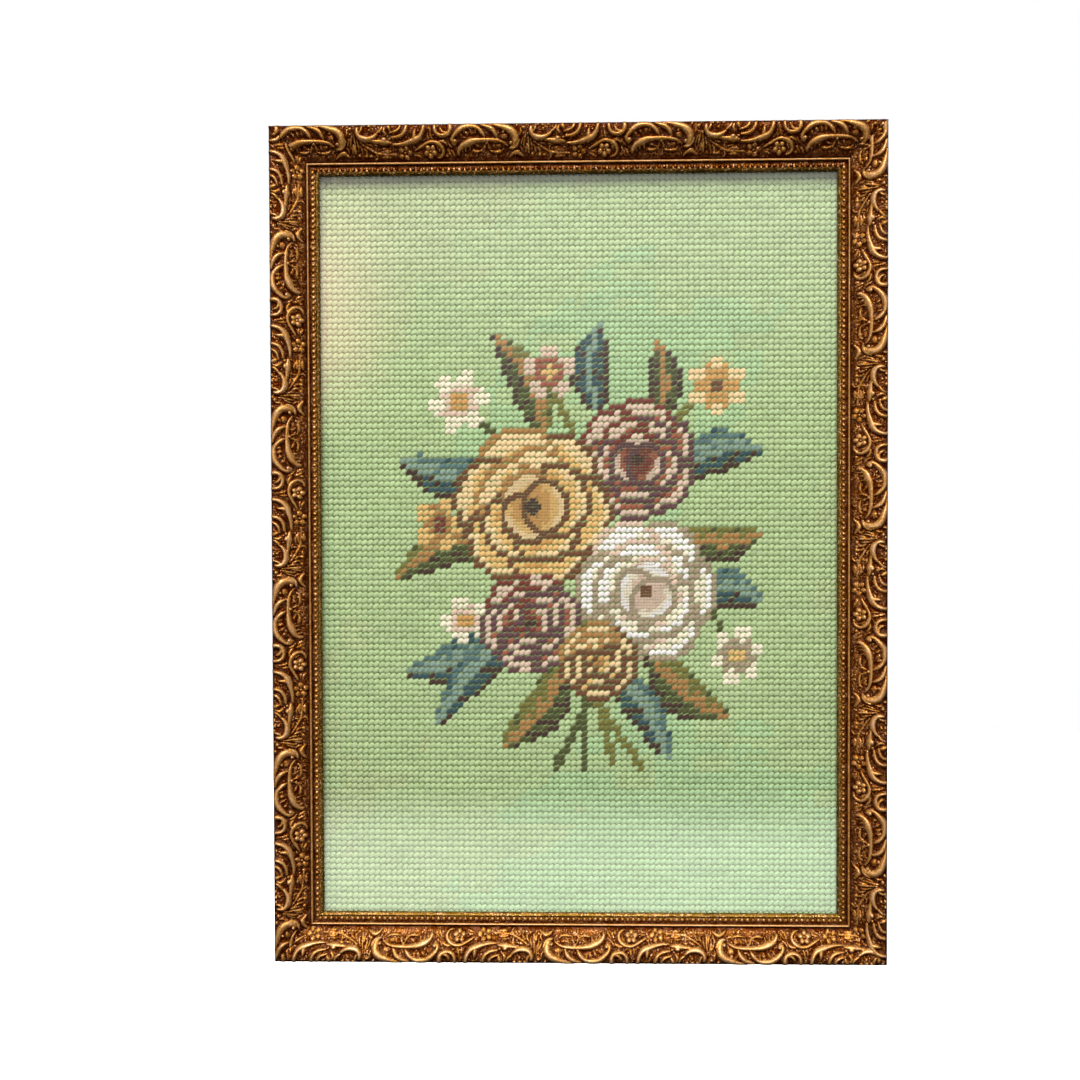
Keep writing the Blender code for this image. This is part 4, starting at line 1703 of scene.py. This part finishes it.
@dataclass
class NeedlepointPanel:
    """The worked canvas: a woven sheet under slanting wool stitches."""

    outline: FrameOutline
    chart: FloralChart = field(default_factory=FloralChart)
    pitch_x: float = 2.517 * MM
    pitch_z: float = 2.603 * MM
    stitches_across: int = 93
    stitches_down: int = 128
    canvas_thickness: float = 1.0 * MM
    weave_depth: float = 0.12 * MM
    slant_degrees: float = 36.0
    half_length: float = 0.72
    half_width: float = 0.51
    fine_fullness: float = 1.12
    fine_loft: float = 0.72
    loft: float = 0.80 * MM
    tuck: float = 0.5 * MM
    turn_jitter: float = 0.16
    length_jitter: float = 0.07
    width_jitter: float = 0.16
    loft_jitter: float = 0.14
    shift_across: float = 0.07
    shift_up: float = 0.10
    tone_jitter: float = 0.09
    row_tone: float = 0.10

    def __post_init__(self) -> None:
        """Read the sheet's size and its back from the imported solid."""
        low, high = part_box("needlepoint_sheet")
        self.back = high.y
        self.width = high.x - low.x
        self.height = high.z - low.z

    def build(self) -> None:
        canvas = dress(self.canvas(), "needlepoint_wool", "needlepoint_sheet")
        stitches = self.stitches()

    def canvas(self) -> bpy.types.Object:
        """Build the woven sheet, raised at every other crossing of its threads.

        Returns:
            The piece.
        """
        middle = self.outline.middle
        columns = math.floor(self.width / self.pitch_x)
        rows = math.floor(self.height / self.pitch_z)
        x = np.linspace(-self.width / 2, self.width / 2, columns + 1)
        z = np.linspace(-self.height / 2, self.height / 2, rows + 1)
        grid_x, grid_z = np.meshgrid(x, z)
        odd = (np.arange(columns + 1)[None, :] + np.arange(rows + 1)[:, None]) % 2
        front = self.back - self.canvas_thickness + self.weave_depth * odd
        shape = Shape("canvas_sheet")
        shape.add_points(np.stack(
            ((middle.x + grid_x).ravel(), front.ravel(), (middle.z + grid_z).ravel()), axis=-1))
        grid = np.arange(grid_x.size).reshape(grid_x.shape)
        shape.add_faces(grid_faces(grid))
        corners = shape.add_points(np.array([
            (middle.x + side * self.width / 2, self.back, middle.z + up * self.height / 2)
            for side, up in CORNERS
        ]))
        shape.add_faces(np.array([[corners + 3, corners + 2, corners + 1, corners]]))
        borders = (grid[0], grid[:, -1], grid[-1, ::-1], grid[::-1, 0])
        for index, border in enumerate(borders):
            pair = np.array((corners + index, corners + (index + 1) % 4))
            shape.add_faces(fan_faces(border, pair))
        piece = shape.build([CanvasWeave().material()], smooth=False)
        corner = np.array(CORNERS) * (self.width / 2, self.height / 2)
        places = np.vstack((np.stack((grid_x.ravel(), grid_z.ravel()), axis=-1), corner))
        odd_start = ((self.stitches_across + 1) % 2 / 2, (self.stitches_down + 1) % 2 / 2)
        store_uv(piece.data, "count", places / (self.pitch_x, self.pitch_z) + odd_start)
        return piece

    def stitches(self) -> list[bpy.types.Object]:
        """Build every stitch, as a few joined pieces.

        Returns:
            The pieces.
        """
        yarn = WoolYarn().material()
        x, y = np.meshgrid(np.arange(self.stitches_across) - (self.stitches_across - 1) / 2,
                           np.arange(self.stitches_down) - (self.stitches_down - 1) / 2)
        x, y = x.ravel().astype(float), y.ravel().astype(float)
        shade = self.chart.threads(x, y)
        fine = self.chart.is_fine(x, y)
        ground = shade < THREADS.index(Thread.OCHRE)
        pieces = [
            self.worked("stitches_ground_upper", yarn, x, y, shade, ground & ~fine & (y >= 0), 1.0),
            self.worked("stitches_ground_lower", yarn, x, y, shade, ground & ~fine & (y < 0), 1.0),
            self.worked("stitches_flowers", yarn, x, y, shade, ~ground & ~fine, 1.0),
        ]
        quarter = np.array([(sx, sy) for sx in (-0.25, 0.25) for sy in (-0.25, 0.25)])
        fine_x = (x[fine][:, None] + quarter[:, 0]).ravel()
        fine_y = (y[fine][:, None] + quarter[:, 1]).ravel()
        fine_shade = self.chart.threads(fine_x, fine_y)
        everywhere = np.ones(fine_x.shape, bool)
        pieces.append(self.worked(
            "stitches_fine", yarn, fine_x, fine_y, fine_shade, everywhere, 0.5))
        return [dress(piece, "needlepoint_wool") for piece in pieces]

    @staticmethod
    def template() -> np.ndarray:
        """Shape one stitch as half a barrel with a tip at each end.

        Returns:
            Its points as shares of half its length, half its width and its loft, the tips last.
        """
        girth = (1.0 - np.abs(STITCH_STATIONS) ** 2.8) ** 0.5
        rise = (1.0 - np.abs(STITCH_STATIONS) ** 2.2) ** 0.6
        body = np.stack((
            np.repeat(STITCH_STATIONS, len(STITCH_FACETS)),
            (girth[:, None] * np.cos(STITCH_FACETS)).ravel(),
            (rise[:, None] * np.sin(STITCH_FACETS)).ravel(),
        ), axis=-1)
        return np.vstack((body, [(-1.0, 0.0, -0.1), (1.0, 0.0, -0.1)]))

    def worked(self, name: str, yarn: bpy.types.Material, x: np.ndarray, y: np.ndarray,
               shade: np.ndarray, where: np.ndarray, scale: float) -> bpy.types.Object:
        """Build a set of like stitches as one mesh.

        Args:
            name: The piece's name.
            yarn: Its material.
            x: Places across, in stitches from the middle.
            y: Places up, in stitches from the middle.
            shade: The wool at each place.
            where: True on the places to build.
            scale: Size of a stitch, 1 for a whole one.

        Returns:
            The piece.
        """
        x, y, shade = x[where], y[where], shade[where]
        count = len(x)
        long, wide, high = self.template().T
        each = len(long)
        body = each - 2
        # Painted shade: each stitch is coloured darker down its sides and darkest at its tips, where it
        # dives into the canvas, with blue darkened most.
        stitch_shading = np.concatenate((0.86 + 0.16 * high[:body], (0.74, 0.74)))
        stitch_shading_rgb = np.stack((stitch_shading, stitch_shading, stitch_shading ** 1.5), axis=-1)

        noise = [speckle(x * scale, y * scale, 10.0 + index) - 0.5 for index in range(7)]
        angle = math.radians(self.slant_degrees) + self.turn_jitter * noise[0]
        whole = scale == 1.0
        size = self.pitch_x * (scale if whole else scale * self.fine_fullness)
        half_length = self.half_length * size * (1.0 + self.length_jitter * noise[1])
        half_width = self.half_width * size * (1.0 + self.width_jitter * noise[2])
        loft = self.loft * (1.0 if whole else self.fine_loft) * (1.0 + self.loft_jitter * noise[3])
        middle = self.outline.middle
        middle_x = middle.x + (x + self.shift_across * noise[4] * scale) * self.pitch_x
        middle_z = middle.z + (y + self.shift_up * noise[5] * scale) * self.pitch_z
        run = long * half_length[:, None]
        aside = wide * half_width[:, None]
        cosine, sine = np.cos(angle)[:, None], np.sin(angle)[:, None]
        seat = self.back - self.canvas_thickness + self.tuck * 0.5
        points = np.stack((
            middle_x[:, None] + run * cosine - aside * sine,
            seat - high * loft[:, None],
            middle_z[:, None] + run * sine + aside * cosine,
        ), axis=-1).reshape(-1, 3)

        grid = np.arange(body).reshape(len(STITCH_STATIONS), len(STITCH_FACETS))
        top = np.stack((grid[:-1, :-1], grid[1:, :-1], grid[1:, 1:], grid[:-1, 1:]), axis=-1).reshape(-1, 4)
        under = np.stack((grid[:-1, 3], grid[1:, 3], grid[1:, 0], grid[:-1, 0]), axis=-1)
        first_tip = [(body, grid[0, step], grid[0, (step + 1) % 4]) for step in range(4)]
        last_tip = [(body + 1, grid[3, (step + 1) % 4], grid[3, step]) for step in range(4)]
        offsets = (np.arange(count) * each)[:, None, None]
        shape = Shape(name)
        shape.add_points(points)
        shape.add_faces((np.vstack((top, under)) + offsets).reshape(-1, 4))
        shape.add_faces((np.array(first_tip + last_tip) + offsets).reshape(-1, 3))
        piece = shape.build([yarn])

        palette = np.array([linear(*thread.value) for thread in THREADS])
        row_noise = speckle(np.floor(y), np.floor(x / 9.0), 30.0) - 0.5
        tone = 1.0 + self.tone_jitter * noise[6] + self.row_tone * row_noise
        colour = palette[shade][:, None, :] * tone[:, None, None] * stitch_shading_rgb[None, :, :]
        rgba = np.concatenate((np.clip(colour, 0, 1), np.ones((count, each, 1))), axis=2)
        layer = piece.data.color_attributes.new(name="thread", type="FLOAT_COLOR", domain="POINT")
        layer.data.foreach_set("color", rgba.astype(np.float32).ravel())
        strand = np.stack((long * self.half_length, wide * self.half_width), axis=-1) * 2.0
        store_uv(piece.data, "strand", np.tile(strand, (count, 1)) + np.repeat(
            np.stack((noise[0], noise[1]), axis=-1) * 9.0, each, axis=0))
        return piece


@dataclass
class FlatPieces:
    """The glass and the board, whose solids keep their shape and get their finish here."""

    nodes: dict[str, bpy.types.Object]

    def build(self) -> None:
        """Finish the pane and the board."""
        self.finish("glass_pane", PaneGlass().material())
        self.finish("backing_board", Hardboard().material())

    def finish(self, node: str, material: bpy.types.Material) -> None:
        """Give one solid its material.

        Args:
            node: The solid's name.
            material: Its material.
        """
        mesh = self.nodes[node].data
        mesh.materials.clear()
        mesh.materials.append(material)
        LOG.info("%s: finished", node)


class Lamp(NamedTuple):
    """A square lamp: its place from the picture's middle, its side in metres and its watts."""

    name: str
    offset: tuple[float, float, float]
    size: float
    power: float
    lights_up: bool = True
    shines: bool = True


LAMPS = (
    Lamp("lamp_above", (-0.18, -1.56, 1.54), 1.3, 81.0),
    Lamp("lamp_front", (-0.06, -1.50, 0.10), 0.9, 4.2, shines=False),
    Lamp("lamp_shine", (0.0, -0.90, 1.06), 1.1, 17.0, lights_up=False),
    Lamp("lamp_left", (-1.15, -1.0, -0.05), 0.6, 3.3),
    Lamp("lamp_right", (1.15, -1.0, 0.35), 0.6, 2.6),
    Lamp("lamp_behind", (0.5, 1.3, 0.6), 0.9, 10.0),
)
SURROUND_LEVELS = ((0.40, 0.03), (0.515, 0.05), (0.535, 0.30), (0.57, 1.10), (0.63, 1.10), (0.72, 0.30))


@dataclass
class Studio:
    """A pale floor, soft lights, a white surround and the camera."""

    outline: FrameOutline
    floor_drop: float = 0.10
    floor_radius: float = 1.6
    camera_offset: tuple[float, float, float] = (0.0125, -0.80, 0.0237)
    camera_turn: tuple[float, float, float] = (2.13, -1.55, -0.20)
    focal_pixels: float = 1781.4
    image_pixels: float = 1080.0
    glare: float = 2.8
    glare_colour: Colour = (0.91, 0.97, 0.86)
    glare_drop: float = 0.35
    glare_near: float = -0.30
    glare_far: float = -1.62
    glare_half: float = 0.55
    glare_far_fall: tuple[float, float] = (-1.36, -0.90)
    glare_near_fall: tuple[float, float] = (-0.64, -0.34)
    glare_side_fall: tuple[float, float] = (0.30, 0.54)
    warm_glare: float = 3.4
    warm_colour: Colour = (1.0, 0.45, 0.40)
    warm_offset: tuple[float, float, float] = (-0.42, -1.6, 0.27)
    warm_half_width: float = 0.19
    warm_half_height: float = 0.20
    diffuse_dimming: float = 0.5

    def build(self) -> None:
        """Set up the studio."""
        self.floor()
        self.glare_card()
        self.warm_card()
        self.lights()
        self.surround()
        self.camera()
        view = bpy.context.scene.view_settings
        view.view_transform = "Standard"
        view.look = "None"

    def floor(self) -> None:
        """Lay the floor below the picture."""
        middle = self.outline.middle
        segments = 96
        turn = np.linspace(0.0, 2 * math.pi, segments, endpoint=False)
        level = self.outline.bottom - self.floor_drop
        rim = np.stack((middle.x + self.floor_radius * np.cos(turn),
                        self.floor_radius * np.sin(turn),
                        np.full(segments, level)), axis=-1)
        under = rim - (0.0, 0.0, 0.004)
        shape = Shape("studio_floor")
        shape.add_points(rim)
        shape.add_points(under)
        ring = np.arange(segments)
        shape.add_faces(ring[None, :])
        shape.add_faces(ring[None, ::-1] + segments)
        following = np.roll(ring, -1)
        shape.add_faces(np.stack((ring + segments, following + segments, following, ring), axis=-1))
        made = shape.build([StudioPaper().material()], smooth=False)
        made.visible_diffuse = False
        made.visible_glossy = False

    def glare_card(self) -> None:
        """Lay a bright card below the camera, for the haze that the glass shows at its foot."""
        graph = Graph("glare_card")
        split = graph.node("ShaderNodeSeparateXYZ", {"Vector": graph.place()}).outputs
        far_fall = graph.spread(split["Y"], *self.glare_far_fall, 0.0, self.glare, soft=True)
        near_fall = graph.spread(split["Y"], *self.glare_near_fall, 1.0, 0.0, soft=True)
        away = graph.math("ABSOLUTE", split["X"])
        aside = graph.spread(away, *self.glare_side_fall, 1.0, 0.0, soft=True)
        fall = graph.math("MULTIPLY", graph.math("MULTIPLY", far_fall, near_fall), aside)
        cloud = graph.spread(graph.noise(graph.place(), 5.0, 2.0, 0.5), 0.3, 0.7, 0.9, 1.1)
        material = graph.glowing(self.glare_colour, graph.math("MULTIPLY", fall, cloud))
        level = self.outline.middle.z + self.camera_offset[2] - self.glare_drop
        near, far, half = self.glare_near, self.glare_far, self.glare_half
        self.card("glare_card", material, (
            (-half, near, level), (-half, far, level), (half, far, level), (half, near, level)))

    def warm_card(self) -> None:
        """Hang a small warm card, for the glow that the glass shows at the left."""
        graph = Graph("warm_card")
        split = graph.node("ShaderNodeSeparateXYZ", {"Vector": graph.place()}).outputs
        middle = self.outline.middle + Vector(self.warm_offset)
        half_width, half_height = self.warm_half_width, self.warm_half_height
        away = graph.math("ABSOLUTE", graph.math("SUBTRACT", split["X"], middle.x))
        aside = graph.math("ABSOLUTE", graph.math("SUBTRACT", split["Z"], middle.z))
        across = graph.spread(away, 0.1 * half_width, half_width, self.warm_glare, 0.0, soft=True)
        up_down = graph.spread(aside, 0.1 * half_height, half_height, 1.0, 0.0, soft=True)
        material = graph.glowing(self.warm_colour, graph.math("MULTIPLY", across, up_down))
        self.card("warm_card", material, tuple(
            (middle.x + side * half_width, middle.y, middle.z + up * half_height)
            for side, up in ((-1, -1), (-1, 1), (1, 1), (1, -1))))

    def card(self, name: str, material: bpy.types.Material,
             corners: Sequence[tuple[float, float, float]]) -> None:
        """Build a card that shows only in reflections.

        Args:
            name: Its name.
            material: Its glow.
            corners: Its four corners.
        """
        shape = Shape(name)
        shape.add_points(np.array(corners))
        shape.add_faces(np.array([[0, 1, 2, 3]]))
        made = shape.build([material], smooth=False)
        made.visible_camera = False
        made.visible_diffuse = False
        made.visible_shadow = False

    def lights(self) -> None:
        """Hang the lamps: a strong one above, weak ones round about, and one that only shines."""
        for lamp in LAMPS:
            self.hang(lamp)

    def hang(self, lamp: Lamp) -> None:
        """Hang one lamp, pointed at the picture's middle.

        Args:
            lamp: The lamp.
        """
        middle = self.outline.middle
        data = bpy.data.lights.new(lamp.name, "AREA")
        data.shape = "SQUARE"
        data.size = lamp.size
        data.energy = lamp.power
        made = bpy.data.objects.new(lamp.name, data)
        made.location = middle + Vector(lamp.offset)
        made.rotation_euler = (middle - made.location).to_track_quat("-Z", "Y").to_euler()
        made.visible_diffuse = lamp.lights_up
        made.visible_glossy = lamp.shines
        bpy.context.scene.collection.objects.link(made)

    def surround(self) -> None:
        """Make a world that is white to the eye and darker below to the picture."""
        graph = Graph("studio_surround", world=True)
        seen = graph.node("ShaderNodeBackground", {"Color": (1.0, 1.0, 1.0)})
        direction = graph.node("ShaderNodeTexCoord").outputs["Generated"]
        height = graph.node("ShaderNodeSeparateXYZ", {"Vector": direction}).outputs["Z"]
        band = graph.ramp(graph.spread(height, -1.0, 1.0, 0.0, 1.0), tuple(
            (place, (level, 0.90 * level, 0.97 * level)) for place, level in SURROUND_LEVELS))
        rays = graph.node("ShaderNodeLightPath").outputs
        dimmed = graph.spread(rays["Is Diffuse Ray"], 0.0, 1.0, 1.0, self.diffuse_dimming)
        lit = graph.node("ShaderNodeBackground", {"Color": band, "Strength": dimmed})
        bpy.context.scene.world = graph.surface(graph.blended(rays["Is Camera Ray"], lit, seen))

    def camera(self) -> None:
        """Stand the camera where the picture was seen from."""
        data = bpy.data.cameras.new("camera")
        data.sensor_width = 36.0
        data.lens = self.focal_pixels / self.image_pixels * data.sensor_width
        made = bpy.data.objects.new("camera", data)
        yaw, pitch, roll = (math.radians(turn) for turn in self.camera_turn)
        turned = (Matrix.Rotation(yaw, 4, "Z") @ Matrix.Rotation(math.pi / 2 + pitch, 4, "X")
                  @ Matrix.Rotation(roll, 4, "Z"))
        made.matrix_world = Matrix.Translation(self.outline.middle + Vector(self.camera_offset)) @ turned
        bpy.context.scene.collection.objects.link(made)
        bpy.context.scene.camera = made


def main() -> None:
    """Build the picture piece by piece."""
    logging.basicConfig(level=logging.INFO, format="%(name)s %(message)s")
    outline = FrameOutline()
    GiltMoulding(outline).build()
    NeedlepointPanel(outline).build()
    FlatPieces(frame["nodes"]).build()
    Studio(outline).build()


if __name__ == "__main__":
    main()
